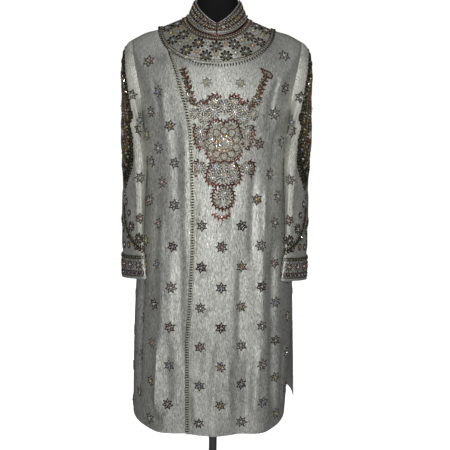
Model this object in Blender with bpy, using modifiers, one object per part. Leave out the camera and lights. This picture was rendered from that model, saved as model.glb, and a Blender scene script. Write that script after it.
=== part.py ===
"""Side-closing sherwani coat hung on a limbless dress form with a pole stand.

Metres, +Z up, the coat's front faces -Y and the wearer's left is +X.
The origin is the centre of the stand's underside.
"""

from collections import namedtuple
from math import acos, asin, copysign, cos, exp, pi, radians, sin, sqrt

import bmesh
import bpy
from mathutils import Vector

# Cloth walls and the air between pieces
BODY_CLOTH = 0.0022      # outer silk, interlining and lining together
COLLAR_CLOTH = 0.0026
TRIM_CLOTH = 0.0014      # beaded braid and applied cuff bands
SEAM_GAP = 0.0003        # between two pieces that are sewn edge to edge
LIFT = 0.0006            # between a panel and what lies on it
CUFF_LIFT = 0.0012       # the same round the sharper edges of a sleeve
OVERLAP_GAP = 0.0012     # between the overlapping front and the one under it

# Front closing
UNDERLAP = 0.055         # how far the right front runs on under the left one
CLOSING_TRIM = 0.012     # width of the beaded braid along the closing edge
SLIT_OPEN = 0.0016       # width of each side slit where it starts
OVERLAP_COLUMNS = [0.0, CLOSING_TRIM, 0.034, UNDERLAP]  # lengths from the closing edge
FRONT_COLUMNS = 16
RIGHT_COLUMNS = 8
BACK_COLUMNS = 16

# Stand
BASE_RADIUS = 0.165
BASE_THICK = 0.007
POLE_RADIUS = 0.0125
FITTING_RADIUS = 0.019   # the clamp at the top of the pole
FITTING_HEIGHT = 0.050
FLANGE_RADIUS = 0.060    # the plate under the form
FLANGE_THICK = 0.006
BASE_BEVEL = 0.002
FLANGE_BEVEL = 0.001
FORM_BOTTOM_STATION = 8.0
NECK_TOP = 1.572         # flat top of the form's neck
NECK_ROUNDING = 0.008

# Horizontal and tilted rings of the coat, from the neckline down. The half widths are those
# of the right front, the left front and the back, measured at (side_y, side_z). Front and
# back give the ring's foremost and rearmost point.
Section = namedtuple(
    "Section", "right left rear side_y side_z front_y front_z back_y back_z square"
)


def even_section(half, *rest):
    return Section(half, half, half, *rest)


SECTIONS = [
    even_section(0.0775, 0.006, 1.480, -0.078, 1.428, 0.074, 1.474, 2.05),  # neckline
    even_section(0.1500, 0.004, 1.4515, -0.114, 1.356, 0.098, 1.427, 2.30),  # yoke edge
    even_section(0.1900, 0.002, 1.440, -0.128, 1.312, 0.109, 1.385, 2.20),  # mid shoulder
    even_section(0.2240, 0.000, 1.423, -0.134, 1.275, 0.117, 1.335, 2.15),  # shoulder tip
    even_section(0.2120, 0.000, 1.310, -0.136, 1.232, 0.120, 1.265, 2.20),  # mid armhole
    even_section(0.1985, 0.000, 1.205, -0.135, 1.185, 0.118, 1.195, 2.30),  # underarm
    even_section(0.1950, 0.004, 1.130, -0.134, 1.122, 0.113, 1.125, 2.30),  # below chest
    even_section(0.1980, 0.012, 1.010, -0.139, 1.010, 0.113, 1.010, 2.30),  # waist
    even_section(0.2270, 0.024, 0.790, -0.160, 0.790, 0.137, 0.790, 2.35),  # top of slits
    Section(0.240, 0.230, 0.242, 0.028, 0.580, -0.175, 0.580, 0.157, 0.580, 2.60),  # skirt
    Section(0.244, 0.220, 0.253, 0.030, 0.358, -0.190, 0.360, 0.172, 0.358, 3.00),  # hem
]
NECKLINE, YOKE, SHOULDER_TIP, UNDERARM, HIP, HEM = 0.0, 1.0, 3.0, 5.0, 8.0, 10.0
SHOULDER_SOFTNESS = 0.16  # how round the shoulder is from front to back

# Armhole: how far its edge stands in front of and behind the shoulder line
ARMHOLE_FRONT = 0.050
ARMHOLE_BACK = 0.054
ARMHOLE_ROWS = 10

# The closing edge runs from the right shoulder seam to the hem, at these places across
ClosingPoint = namedtuple("ClosingPoint", "station x")
CLOSING = [
    ClosingPoint(1.0, -0.1500),
    ClosingPoint(1.04, -0.1235),
    ClosingPoint(1.25, -0.1178),
    ClosingPoint(1.5, -0.1105),
    ClosingPoint(2.0, -0.1025),
    ClosingPoint(2.5, -0.0967),
    ClosingPoint(3.0, -0.0893),
    ClosingPoint(3.5, -0.0818),
    ClosingPoint(4.0, -0.0755),
    ClosingPoint(5.0, -0.0675),
    ClosingPoint(6.0, -0.0645),
    ClosingPoint(7.0, -0.0608),
    ClosingPoint(7.6, -0.0608),
    ClosingPoint(8.2, -0.0662),
    ClosingPoint(8.8, -0.0755),
    ClosingPoint(9.4, -0.0755),
    ClosingPoint(10.0, -0.0740),
]

# Largest soft folds of the skirt: place across as a share of the half ring (negative is the
# wearer's right), top and full-depth stations, width as a share, and height of the ridge.
Fold = namedtuple("Fold", "side place top full width height")
FOLDS = [
    Fold("front", -0.60, 6.2, 9.6, 0.13, 0.007),
    Fold("front", -0.28, 7.2, 10.0, 0.09, -0.005),
    Fold("front", 0.06, 7.6, 10.0, 0.12, 0.005),
    Fold("front", 0.36, 6.4, 9.4, 0.11, -0.006),
    Fold("front", 0.64, 6.0, 9.8, 0.12, 0.007),
    Fold("back", -0.55, 6.4, 9.8, 0.15, 0.010),
    Fold("back", -0.18, 6.8, 10.0, 0.14, -0.008),
    Fold("back", 0.22, 6.6, 9.6, 0.15, 0.009),
    Fold("back", 0.58, 6.8, 10.0, 0.14, -0.008),
]

# Sleeve rings from the underarm to the cuff: centre, half width from front to back, half
# thickness, how far the flattened tube is turned so that its front edge points inwards, and
# how steeply the ring rises to the front.
SleeveRing = namedtuple("SleeveRing", "z x y half_wide half_thick turn rise")
SLEEVE = [
    SleeveRing(1.200, 0.2334, 0.000, 0.082, 0.0295, 14, 0.00),
    SleeveRing(1.120, 0.2303, -0.009, 0.080, 0.0315, 22, 0.03),
    SleeveRing(1.020, 0.2290, -0.024, 0.075, 0.0275, 24, 0.07),
    SleeveRing(0.905, 0.2285, -0.053, 0.069, 0.0210, 29, 0.14),
    SleeveRing(0.783, 0.2230, -0.086, 0.064, 0.0150, 38, 0.20),
]
CAP_ROWS = 5             # rings between the armhole and the first row of SLEEVE
CUFF_HEIGHT = 0.072

# Collar: its top edge, in the same columns as the coat's rings
COLLAR_TOP = even_section(0.0605, 0.008, 1.5200, -0.047, 1.4555, 0.067, 1.526, 2.0)
COLLAR_DIP = 1.2         # 1 is an even slope from the side to the front, more is rounder
COLLAR_OPEN = 0.0012     # half the slit between the collar's two ends
COLLAR_ROWS = 4
COLLAR_COLUMNS = 30
PIPING_RADIUS = 0.0015
NECK_CORD_RADIUS = 0.0020

# How far the form lies inside the coat's outer face, by station
FORM_INSET = [0.0050, 0.0070, 0.0085, 0.0090, 0.0110, 0.0110, 0.0100, 0.0180, 0.0200]
NECK_INSET = 0.0072
FORM_COLUMNS = 30

FRONT_HALF = (-pi / 2, pi / 2)
BACK_HALF = (pi / 2, 3 * pi / 2)

COLOURS = {
    "ivory silk": ((0.55, 0.54, 0.49), 0.45, 0.0),
    "beaded braid": ((0.30, 0.27, 0.18), 0.35, 0.6),
    "embroidered band": ((0.24, 0.17, 0.14), 0.50, 0.2),
    "black jersey": ((0.010, 0.010, 0.011), 0.75, 0.0),
    "polished steel": ((0.70, 0.70, 0.72), 0.18, 1.0),
}


def catmull_rom(values, place):
    """A smooth curve through evenly numbered values, read at a fractional place."""
    last = len(values) - 1
    i = min(int(max(place, 0.0)), last - 1)
    t = place - i
    before, after = values[max(i - 1, 0)], values[min(i + 2, last)]
    p, q = values[i], values[i + 1]
    slope_p, slope_q = (q - before) / 2, (after - p) / 2
    if i == 0:
        slope_p = q - p
    if i + 2 > last:
        slope_q = q - p
    h = t * t * (3 - 2 * t)
    return (1 - h) * p + h * q + t * (1 - t) ** 2 * slope_p - t * t * (1 - t) * slope_q


def along(points, place):
    """Straight-line reading of a table of (place, value)."""
    for (a, va), (b, vb) in zip(points, points[1:]):
        if place <= b:
            return va + (vb - va) * (max(place, a) - a) / (b - a)
    return points[-1][1]


def section_at(station):
    return Section(*(catmull_rom(column, station) for column in zip(*SECTIONS)))


def half_width(section, angle):
    if cos(angle) < -1e-9:
        return section.rear
    return section.left if sin(angle) > 0 else section.right


def softened(lean):
    """0 to 1 like lean itself, but flat near 0, so that the shoulder isn't a sharp ridge."""
    e = SHOULDER_SOFTNESS
    return (sqrt(lean * lean + e * e) - e) / (sqrt(1 + e * e) - e)


def fold_height(side, share, station):
    total = 0.0
    for fold in FOLDS:
        if fold.side != side or station <= fold.top:
            continue
        grown = min(1.0, (station - fold.top) / (fold.full - fold.top))
        across = (share - fold.place) / fold.width
        total += fold.height * grown * grown * (3 - 2 * grown) * exp(-across * across)
    return total


def ring_point(section, angle, station=None):
    """A point of a ring. Angle 0 is the front, +90 degrees the wearer's left side."""
    front = cos(angle) >= -1e-9
    half = half_width(section, angle)
    end_y, end_z = (
        (section.front_y, section.front_z) if front else (section.back_y, section.back_z)
    )
    power = 2 / section.square
    across = copysign(abs(sin(angle)) ** power, sin(angle))
    lean = abs(cos(angle)) ** power
    x = half * across
    y = section.side_y + (end_y - section.side_y) * lean
    z = section.side_z + (end_z - section.side_z) * softened(lean)
    if station is not None:
        side = "front" if front else "back"
        outward = Vector((x, (y - section.side_y) * half / abs(end_y - section.side_y), 0))
        height = fold_height(side, across, station)
        x, y = (Vector((x, y, 0)) + outward.normalized() * height)[:2]
    return Vector((x, y, z))


def coat_point(station, angle):
    return ring_point(section_at(station), angle, station)


def coat_normal(station, angle, half):
    """Outward direction, taken on this side of the side seam only."""
    step, low, high = 0.012, *half
    on_seam = min(angle - low, high - angle) < 0.03
    along_ring = coat_point(station, min(angle + step, high)) - coat_point(
        station, max(angle - step, low)
    )
    above, below = max(station - 0.02, 0.0), min(station + 0.02, HEM)
    down = coat_point(below, angle) - coat_point(above, angle)
    normal = along_ring.cross(down).normalized() * -1
    if on_seam:
        normal.y = 0
    return normal.normalized()


def angle_at_x(station, x):
    section = section_at(station)
    share = min(1.0, abs(x) / (section.left if x > 0 else section.right))
    return copysign(asin(share ** (section.square / 2)), x)


def armhole_angle(station, front):
    """How far round the ring the armhole's edge is, from the front or back centre."""
    section = section_at(station)
    share = (station - SHOULDER_TIP) / (UNDERARM - SHOULDER_TIP)
    reach = (ARMHOLE_FRONT if front else ARMHOLE_BACK) * 2 * sqrt(max(share * (1 - share), 0))
    depth = abs((section.front_y if front else section.back_y) - section.side_y)
    return acos(min(1.0, reach / depth) ** (section.square / 2))


def side_angle(station, front):
    """Where a panel ends at the wearer's left: shoulder seam, armhole, side seam or slit."""
    section = section_at(station)
    if SHOULDER_TIP < station < UNDERARM:
        angle = armhole_angle(station, front)
    else:
        open_by = SEAM_GAP / 2
        if station > HIP:
            open_by += SLIT_OPEN / 2
        depth = abs((section.front_y if front else section.back_y) - section.side_y)
        angle = acos(min(1.0, (open_by / depth) ** (section.square / 2)))
    return angle if front else pi - angle


def closing_angle(station, shift=0.0):
    """The closing edge on the wearer's right, moved across by shift."""
    if station <= YOKE:
        return -side_angle(station, True)
    return angle_at_x(station, along(CLOSING, station) + shift)


def spread(station, first, last, places):
    """Angles at the given shares of the length along the ring from first to last."""
    fine = [first + (last - first) * i / 120 for i in range(121)]
    section = section_at(station)
    points = [ring_point(section, a) for a in fine]
    run = [0.0]
    for p, q in zip(points, points[1:]):
        run.append(run[-1] + (q - p).length)
    angles = []
    for place in places:
        angles.append(along(list(zip(run, fine)), place * run[-1]))
    return angles


def wall(name, rows, thickness, normals, ring=False):
    """A closed cloth wall: rows of outer points and the same points moved inwards."""
    mesh = bmesh.new()
    outer = [[mesh.verts.new(p) for p in row] for row in rows]
    inner = [
        [mesh.verts.new(p - n * thickness) for p, n in zip(row, row_normals)]
        for row, row_normals in zip(rows, normals)
    ]
    count = len(rows[0])
    pairs = [(j, (j + 1) % count) for j in range(count if ring else count - 1)]
    for i in range(len(rows) - 1):
        for j, k in pairs:
            mesh.faces.new((outer[i][j], outer[i + 1][j], outer[i + 1][k], outer[i][k]))
            mesh.faces.new((inner[i][j], inner[i][k], inner[i + 1][k], inner[i + 1][j]))
    for j, k in pairs:
        mesh.faces.new((outer[0][j], outer[0][k], inner[0][k], inner[0][j]))
        mesh.faces.new((outer[-1][k], outer[-1][j], inner[-1][j], inner[-1][k]))
    if not ring:
        for i in range(len(rows) - 1):
            mesh.faces.new((outer[i + 1][0], outer[i][0], inner[i][0], inner[i + 1][0]))
            mesh.faces.new((outer[i][-1], outer[i + 1][-1], inner[i + 1][-1], inner[i][-1]))
    bmesh.ops.recalc_face_normals(mesh, faces=mesh.faces)
    data = bpy.data.meshes.new(name)
    mesh.to_mesh(data)
    mesh.free()
    return data


def add_object(name, data, material):
    obj = bpy.data.objects.new(name, data)
    data.materials.append(MATERIALS[material])
    COAT.objects.link(obj)
    if obj.type == "MESH":
        data.shade_smooth()
        data.set_sharp_from_angle(angle=radians(50))
    return obj


def make_material(name):
    colour, roughness, metallic = COLOURS[name]
    material = bpy.data.materials.new(name)
    material.use_nodes = True
    shader = material.node_tree.nodes["Principled BSDF"]
    shader.inputs["Base Color"].default_value = (*colour, 1)
    shader.inputs["Roughness"].default_value = roughness
    shader.inputs["Metallic"].default_value = metallic
    return material


def station_rows(bottom=HEM):
    """Stations of the coat's rows: close at the yoke and armhole, wider down the skirt."""
    upper = [0.0, 0.35, 0.62, 0.86, 1.0, 1.04, 1.5, 2.0, 2.5]
    armhole = [
        SHOULDER_TIP + (UNDERARM - SHOULDER_TIP) * (1 - cos(pi * i / ARMHOLE_ROWS)) / 2
        for i in range(ARMHOLE_ROWS + 1)
    ]
    lower = [5.5, 6.0, 6.5, 7.0, 7.5, 8.0, 8.05, 8.5, 9.0, 9.5, 10.0]
    return [s for s in upper + armhole + lower if s <= bottom]


def panel(station_list, angle_rows, half, lifts=None):
    """Rows of points and outward directions of one body panel."""
    points, normals = [], []
    for i, (station, angles) in enumerate(zip(station_list, angle_rows)):
        row_normals = [coat_normal(station, a, half) for a in angles]
        row = [coat_point(station, a) for a in angles]
        if lifts:
            row = [p + n * lift for p, n, lift in zip(row, row_normals, lifts[i])]
        points.append(row)
        normals.append(row_normals)
    return points, normals


def overlap_lift(x, edge_x):
    """The overlapping front stands off the under one, then comes down to the coat's face."""
    full = BODY_CLOTH + OVERLAP_GAP
    past = (x - (edge_x + UNDERLAP + 0.004)) / 0.050
    t = min(max(past, 0.0), 1.0)
    return full * (1 - t * t * (3 - 2 * t))


def overlap_angles(station, columns):
    """Angles of the left front from the closing edge on, the first few at fixed lengths."""
    first, last = closing_angle(station), side_angle(station, True)
    section = section_at(station)
    steps = [first + (last - first) * i / 60 for i in range(61)]
    points = [ring_point(section, a) for a in steps]
    whole = sum((q - p).length for p, q in zip(points, points[1:]))
    shares = [length / whole for length in OVERLAP_COLUMNS]
    rest = columns - len(shares)
    shares += [shares[-1] + (1 - shares[-1]) * (i + 1) / rest for i in range(rest)]
    return spread(station, first, last, shares)


def build_fronts(stations):
    """The left front laps over the right one from the shoulder seam to the hem."""
    angle_rows = [overlap_angles(s, FRONT_COLUMNS) for s in stations]
    lifts = []
    for station, angles in zip(stations, angle_rows):
        xs = [coat_point(station, a).x for a in angles]
        lifts.append([overlap_lift(x, xs[0]) for x in xs])
    points, normals = panel(stations, angle_rows, FRONT_HALF, lifts)
    add_object("front_left", wall("front_left", points, BODY_CLOTH, normals), "ivory silk")

    # Beaded braid along the closing edge, below the yoke
    first = stations.index(YOKE) + 1
    add_object(
        "closing_braid",
        laid_on("closing_braid", [r[:2] for r in points[first:]], [r[:2] for r in normals[first:]]),
        "beaded braid",
    )

    # The right front starts at the shoulder seam and shares the overlap's columns
    under = [i for i, s in enumerate(stations) if s > YOKE]
    shared = len(OVERLAP_COLUMNS)
    right_rows = []
    for i in under:
        edge = angle_rows[i][0]
        open_part = spread(
            stations[i],
            -side_angle(stations[i], True),
            edge,
            [k / RIGHT_COLUMNS for k in range(RIGHT_COLUMNS)],
        )
        right_rows.append(open_part + angle_rows[i][:shared])
    right_stations = [stations[i] for i in under]
    right_points, right_normals = panel(right_stations, right_rows, FRONT_HALF)
    add_object(
        "front_right",
        wall("front_right", right_points, BODY_CLOTH, right_normals),
        "ivory silk",
    )
    return points, normals


def laid_on(name, rows, normals, ring=False, lift=LIFT):
    """A strip of braid that lies on a panel, made from the panel's points moved out."""
    moved = [
        [p + n * (lift + TRIM_CLOTH) for p, n in zip(row, row_normals)]
        for row, row_normals in zip(rows, normals)
    ]
    return wall(name, moved, TRIM_CLOTH, normals, ring)


def build_body():
    stations = station_rows()
    front_points, front_normals = build_fronts(stations)

    angle_rows = []
    for station in stations:
        side = side_angle(station, False)
        shares = [i / BACK_COLUMNS for i in range(BACK_COLUMNS + 1)]
        angle_rows.append(spread(station, side, 2 * pi - side, shares))
    back_points, back_normals = panel(stations, angle_rows, BACK_HALF)
    add_object("back", wall("back", back_points, BODY_CLOTH, back_normals), "ivory silk")

    # Braid round the yoke, over both shoulder seams. The right one has the overlapping
    # front's lift before it, so there the braid steps down to the back.
    low = stations.index(YOKE)
    rows, normals = [], []
    for i in (low - 1, low):
        rows.append(front_points[i] + back_points[i])
        normals.append(front_normals[i] + back_normals[i])
    add_object("yoke_braid", laid_on("yoke_braid", rows, normals, True), "beaded braid")


def armhole_edge():
    """Points round the left armhole from the shoulder tip by the front, and their outward way."""
    stations = [s for s in station_rows() if SHOULDER_TIP <= s <= UNDERARM]
    front = [(s, side_angle(s, True), FRONT_HALF) for s in stations]
    back = [(s, side_angle(s, False), BACK_HALF) for s in reversed(stations[1:-1])]
    edge = [
        (coat_point(s, a), coat_normal(s, a, half)) for s, a, half in front + back
    ]
    centre = sum((p for p, n in edge), Vector()) / len(edge)
    return [
        (p + n * 0.0006 + (centre - p).normalized() * 0.0006, n) for p, n in edge
    ]


def sleeve_ring(ring, count):
    """Points of a flattened tube, from its outer face round by the front edge."""
    turn = radians(ring.turn)
    points = []
    for k in range(count):
        psi = 2 * pi * k / count
        out, forward = ring.half_thick * cos(psi), ring.half_wide * sin(psi)
        x = ring.x + out * cos(turn) - forward * sin(turn)
        y = ring.y - forward * cos(turn) - out * sin(turn)
        points.append(Vector((x, y, ring.z + forward * ring.rise)))
    return points


def sleeve_row(place, count):
    """A ring between the rows of SLEEVE."""
    columns = list(zip(*SLEEVE))
    return sleeve_ring(SleeveRing(*(catmull_rom(c, place) for c in columns)), count)


def bezier(a, b, c, d, t):
    u = 1 - t
    return a * u**3 + b * 3 * u * u * t + c * 3 * u * t * t + d * t**3


def sleeve_rows():
    """All rings of the left sleeve, from the armhole to the cuff."""
    edge = armhole_edge()
    count = len(edge)
    top = sleeve_row(0.0, count)
    outward, down = Vector((0.93, 0, -0.37)), Vector((0, 0, -1))
    rows = []
    for i in range(CAP_ROWS):
        row = []
        for k, (start, _) in enumerate(edge):
            end, high = top[k], (1 + cos(2 * pi * k / count)) / 2
            leave = (outward * high + down * (1 - high)).normalized()
            rise = Vector((-0.10 * high, 0, 1))
            far = (end - start).length
            t = i / CAP_ROWS
            row.append(
                bezier(start, start + leave * far * 0.20, end + rise * far * 0.50, end, t)
            )
        rows.append(row)
    last = len(SLEEVE) - 1
    cuff_top = last - CUFF_HEIGHT / (SLEEVE[-2].z - SLEEVE[-1].z)
    places = [0.0, 0.5, 1.0, 1.5, 2.0, 2.5, 3.0, cuff_top, (cuff_top + last) / 2, last]
    return rows + [sleeve_row(p, count) for p in places]


def grid_normals(rows):
    """Outward directions of a tube's points, from the points beside each."""
    count = len(rows[0])
    normals = []
    for i, row in enumerate(rows):
        above, below = rows[max(i - 1, 0)], rows[min(i + 1, len(rows) - 1)]
        normals.append(
            [
                (row[(k + 1) % count] - row[k - 1]).cross(above[k] - below[k]).normalized()
                for k in range(count)
            ]
        )
    return normals


def mirrored(rows):
    return [[Vector((-p.x, p.y, p.z)) for p in row] for row in rows]


def build_sleeves():
    rows = sleeve_rows()
    normals = grid_normals(rows)
    count = len(rows[0])
    quarter = count // 4
    if (rows[-1][0] - rows[-1][count // 2]).dot(normals[-1][0]) < 0:
        normals = [[-n for n in row] for row in normals]
    spans = {
        "top": list(range(-quarter, quarter + 1)),
        "under": list(range(quarter, 3 * quarter + 1)),
    }
    for side, flip in (("left", False), ("right", True)):
        side_rows = mirrored(rows) if flip else rows
        side_normals = mirrored(normals) if flip else normals
        for name, span in spans.items():
            cut_rows, cut_normals = [], []
            for row, row_normals in zip(side_rows, side_normals):
                piece = [row[k % count].copy() for k in span]
                piece[0] += (piece[1] - piece[0]).normalized() * SEAM_GAP
                piece[-1] += (piece[-2] - piece[-1]).normalized() * SEAM_GAP
                cut_rows.append(piece)
                cut_normals.append([row_normals[k % count] for k in span])
            label = f"sleeve_{side}_{name}"
            add_object(label, wall(label, cut_rows, BODY_CLOTH, cut_normals), "ivory silk")
        label = f"cuff_{side}"
        band = laid_on(label, side_rows[-3:], side_normals[-3:], True, CUFF_LIFT)
        add_object(label, band, "embroidered band")


def collar_section(height):
    """A ring of the collar: 0 is the neckline, 1 the top edge."""
    low = SECTIONS[0]
    return Section(*(a + (b - a) * height for a, b in zip(low, COLLAR_TOP)))


def collar_point(height, angle):
    """The top edge curves down to the front, the foot follows the neckline."""
    section = collar_section(height)
    point = ring_point(section, angle)
    if cos(angle) > 0:
        lean = cos(angle) ** COLLAR_DIP
        dipped = section.side_z + (section.front_z - section.side_z) * lean
        point.z += (dipped - point.z) * height
    return point


def collar_grid(heights, angles):
    points, normals = [], []
    for height in heights:
        row, row_normals = [], []
        for angle in angles:
            p = collar_point(height, angle)
            across = collar_point(height, angle + 0.02) - collar_point(height, angle - 0.02)
            up = collar_point(height + 0.05, angle) - collar_point(height - 0.05, angle)
            row.append(p)
            row_normals.append(across.cross(up).normalized())
        points.append(row)
        normals.append(row_normals)
    return points, normals


def cord(name, points, radius, material, sides=1):
    """A round cord through the points, as a bevelled curve."""
    curve = bpy.data.curves.new(name, "CURVE")
    curve.dimensions = "3D"
    curve.bevel_depth = radius
    curve.bevel_resolution = sides
    curve.use_fill_caps = True
    spline = curve.splines.new("POLY")
    spline.points.add(len(points) - 1)
    for point, place in zip(spline.points, points):
        point.co = (*place, 1)
    return add_object(name, curve, material)


def build_collar():
    open_angle = COLLAR_OPEN / COLLAR_TOP.left
    angles = [
        open_angle + (2 * pi - 2 * open_angle) * i / COLLAR_COLUMNS
        for i in range(COLLAR_COLUMNS + 1)
    ]
    heights = [i / (COLLAR_ROWS - 1) for i in range(COLLAR_ROWS)]
    points, normals = collar_grid(heights, angles)
    rise = Vector((0, 0, SEAM_GAP + BODY_CLOTH + OVERLAP_GAP))
    points = [[p + rise for p in row] for row in points]
    add_object(
        "collar",
        wall("collar", points[::-1], COLLAR_CLOTH, normals[::-1]),
        "ivory silk",
    )
    top = []
    for k, (p, n) in enumerate(zip(points[-1], normals[-1])):
        edge = points[-1][min(k + 1, COLLAR_COLUMNS)] - points[-1][max(k - 1, 0)]
        above_edge = edge.cross(n).normalized()
        above_edge *= copysign(PIPING_RADIUS + 2 * SEAM_GAP, above_edge.z)
        top.append(p - n * COLLAR_CLOTH / 2 + above_edge)
    cord("collar_piping", top, PIPING_RADIUS, "ivory silk")
    foot = [
        p + n * (NECK_CORD_RADIUS + LIFT) + Vector((0, 0, NECK_CORD_RADIUS))
        for p, n in zip(points[0], normals[0])
    ]
    cord("neck_piping", foot, NECK_CORD_RADIUS, "ivory silk")


def form_rings():
    """Rings of the dress form, from its underside to the top of its neck."""
    angles = [2 * pi * i / FORM_COLUMNS for i in range(FORM_COLUMNS)]
    stations = [s for s in station_rows(FORM_BOTTOM_STATION) if s not in (0.86, 1.04)]
    rings = []
    for station in reversed(stations):
        section = section_at(station)
        inset = catmull_rom(FORM_INSET, station)
        ring = []
        for angle in angles:
            half = FRONT_HALF if cos(angle) >= 0 else BACK_HALF
            turned = angle if half == BACK_HALF or angle <= pi / 2 else angle - 2 * pi
            step = coat_normal(station, turned, half) * inset
            place = ring_point(section, angle) - step
            if station == FORM_BOTTOM_STATION:
                place.z = section.side_z
            ring.append(place)
        rings.append(ring)
    for height in (0.34, 0.68, 1.0):
        points, normals = collar_grid([height], angles)
        rings.append([p - n * NECK_INSET for p, n in zip(points[0], normals[0])])
    top = rings[-1]
    centre = sum(top, Vector()) / len(top)
    for share, drop in ((1.0, NECK_ROUNDING), (0.95, 0.002), (0.88, 0.0)):
        rings.append(
            [
                Vector(
                    (
                        centre.x + (p.x - centre.x) * share,
                        centre.y + (p.y - centre.y) * share,
                        NECK_TOP - drop,
                    )
                )
                for p in top
            ]
        )
    return rings


def build_form():
    mesh = bmesh.new()
    rings = [[mesh.verts.new(p) for p in ring] for ring in form_rings()]
    for low, high in zip(rings, rings[1:]):
        for k in range(FORM_COLUMNS):
            n = (k + 1) % FORM_COLUMNS
            mesh.faces.new((low[k], low[n], high[n], high[k]))
    mesh.faces.new(rings[0][::-1])
    mesh.faces.new(rings[-1])
    bmesh.ops.recalc_face_normals(mesh, faces=mesh.faces)
    data = bpy.data.meshes.new("form_torso")
    mesh.to_mesh(data)
    mesh.free()
    add_object("form_torso", data, "black jersey")


def turned_piece(name, radius, low, high, bevel=0.0):
    """A plain round steel piece of the stand, standing on the Z axis."""
    bpy.ops.mesh.primitive_cylinder_add(
        vertices=40, radius=radius, depth=high - low, location=(0, 0, (low + high) / 2)
    )
    obj = bpy.context.object
    obj.name = obj.data.name = name
    for collection in obj.users_collection:
        collection.objects.unlink(obj)
    COAT.objects.link(obj)
    obj.data.materials.append(MATERIALS["polished steel"])
    obj.data.shade_smooth()
    obj.data.set_sharp_from_angle(angle=radians(50))
    if bevel:
        modifier = obj.modifiers.new("rounded edges", "BEVEL")
        modifier.width = bevel
        modifier.segments = 2
        modifier.limit_method = "ANGLE"


def build_stand():
    flange_top = section_at(FORM_BOTTOM_STATION).side_z - SEAM_GAP
    flange_bottom = flange_top - FLANGE_THICK
    fitting_top = flange_bottom - SEAM_GAP
    fitting_bottom = fitting_top - FITTING_HEIGHT
    turned_piece("stand_base", BASE_RADIUS, 0.0, BASE_THICK, BASE_BEVEL)
    turned_piece("stand_flange", FLANGE_RADIUS, flange_bottom, flange_top, FLANGE_BEVEL)
    turned_piece("stand_fitting", FITTING_RADIUS, fitting_bottom, fitting_top, FLANGE_BEVEL)
    turned_piece("stand_pole", POLE_RADIUS, BASE_THICK + SEAM_GAP, fitting_bottom - SEAM_GAP)


for old in list(bpy.data.objects):
    bpy.data.objects.remove(old)
COAT = bpy.data.collections.new("sherwani coat on dress form")
bpy.context.scene.collection.children.link(COAT)
MATERIALS = {name: make_material(name) for name in COLOURS}
build_form()
build_stand()
build_body()
build_sleeves()
build_collar()
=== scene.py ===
from copy import copy
from math import cos, pi, radians, sin

import bmesh
import bpy
import numpy as np
from mathutils import Matrix, Vector


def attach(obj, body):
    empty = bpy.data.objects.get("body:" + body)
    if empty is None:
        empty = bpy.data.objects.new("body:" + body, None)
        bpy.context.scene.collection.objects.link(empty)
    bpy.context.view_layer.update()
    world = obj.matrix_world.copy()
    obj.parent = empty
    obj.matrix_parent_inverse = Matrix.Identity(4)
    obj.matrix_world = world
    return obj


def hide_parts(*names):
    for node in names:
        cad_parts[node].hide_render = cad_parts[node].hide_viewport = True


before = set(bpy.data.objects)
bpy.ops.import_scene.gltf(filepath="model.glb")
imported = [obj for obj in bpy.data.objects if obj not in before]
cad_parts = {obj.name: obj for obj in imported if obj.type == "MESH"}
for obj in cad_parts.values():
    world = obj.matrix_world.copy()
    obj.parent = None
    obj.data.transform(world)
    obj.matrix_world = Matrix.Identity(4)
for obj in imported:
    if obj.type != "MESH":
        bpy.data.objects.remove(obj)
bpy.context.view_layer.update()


# the coat's form, as in the frame: rings from the neckline down, in metres
ringColumns = "right left rear sideY sideZ frontY frontZ backY backZ square".split()
sideColumns = np.array([name in ("right", "left", "rear", "sideZ") for name in ringColumns], float)
coatRings = [
    (0.0775, 0.0775, 0.0775, 0.006, 1.480, -0.078, 1.428, 0.074, 1.474, 2.05),  # neckline
    (0.150, 0.150, 0.150, 0.004, 1.4515, -0.114, 1.356, 0.098, 1.427, 2.30),  # yoke edge
    (0.190, 0.190, 0.190, 0.002, 1.440, -0.128, 1.312, 0.109, 1.385, 2.20),  # mid shoulder
    (0.224, 0.224, 0.224, 0.000, 1.423, -0.134, 1.275, 0.117, 1.335, 2.15),  # shoulder tip
    (0.212, 0.212, 0.212, 0.000, 1.310, -0.136, 1.232, 0.120, 1.265, 2.20),  # mid armhole
    (0.1985, 0.1985, 0.1985, 0.000, 1.205, -0.135, 1.185, 0.118, 1.195, 2.30),  # underarm
    (0.195, 0.195, 0.195, 0.004, 1.130, -0.134, 1.122, 0.113, 1.125, 2.30),  # below chest
    (0.198, 0.198, 0.198, 0.012, 1.010, -0.139, 1.010, 0.113, 1.010, 2.30),  # waist
    (0.227, 0.227, 0.227, 0.024, 0.790, -0.160, 0.790, 0.137, 0.790, 2.35),  # top of slits
    (0.240, 0.230, 0.242, 0.028, 0.580, -0.175, 0.580, 0.157, 0.580, 2.60),  # skirt
    (0.244, 0.220, 0.253, 0.030, 0.358, -0.190, 0.360, 0.172, 0.358, 3.00),  # hem
]
collarTop = (0.0605, 0.0605, 0.0605, 0.008, 1.5200, -0.047, 1.4555, 0.067, 1.526, 2.0)
yoke, shoulderTip, underarm, hip, hem = 1.0, 3.0, 5.0, 8.0, 10.0

coat = dict(
    cloth=0.0022, collarCloth=0.0026, trimCloth=0.0014, lift=0.0006, cuffLift=0.0012,
    overlapGap=0.0012, underlap=0.055, seamGap=0.0003, slitOpen=0.0016,
    armholeFront=0.050, armholeBack=0.054, shoulderSoftness=0.16,
)

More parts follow.
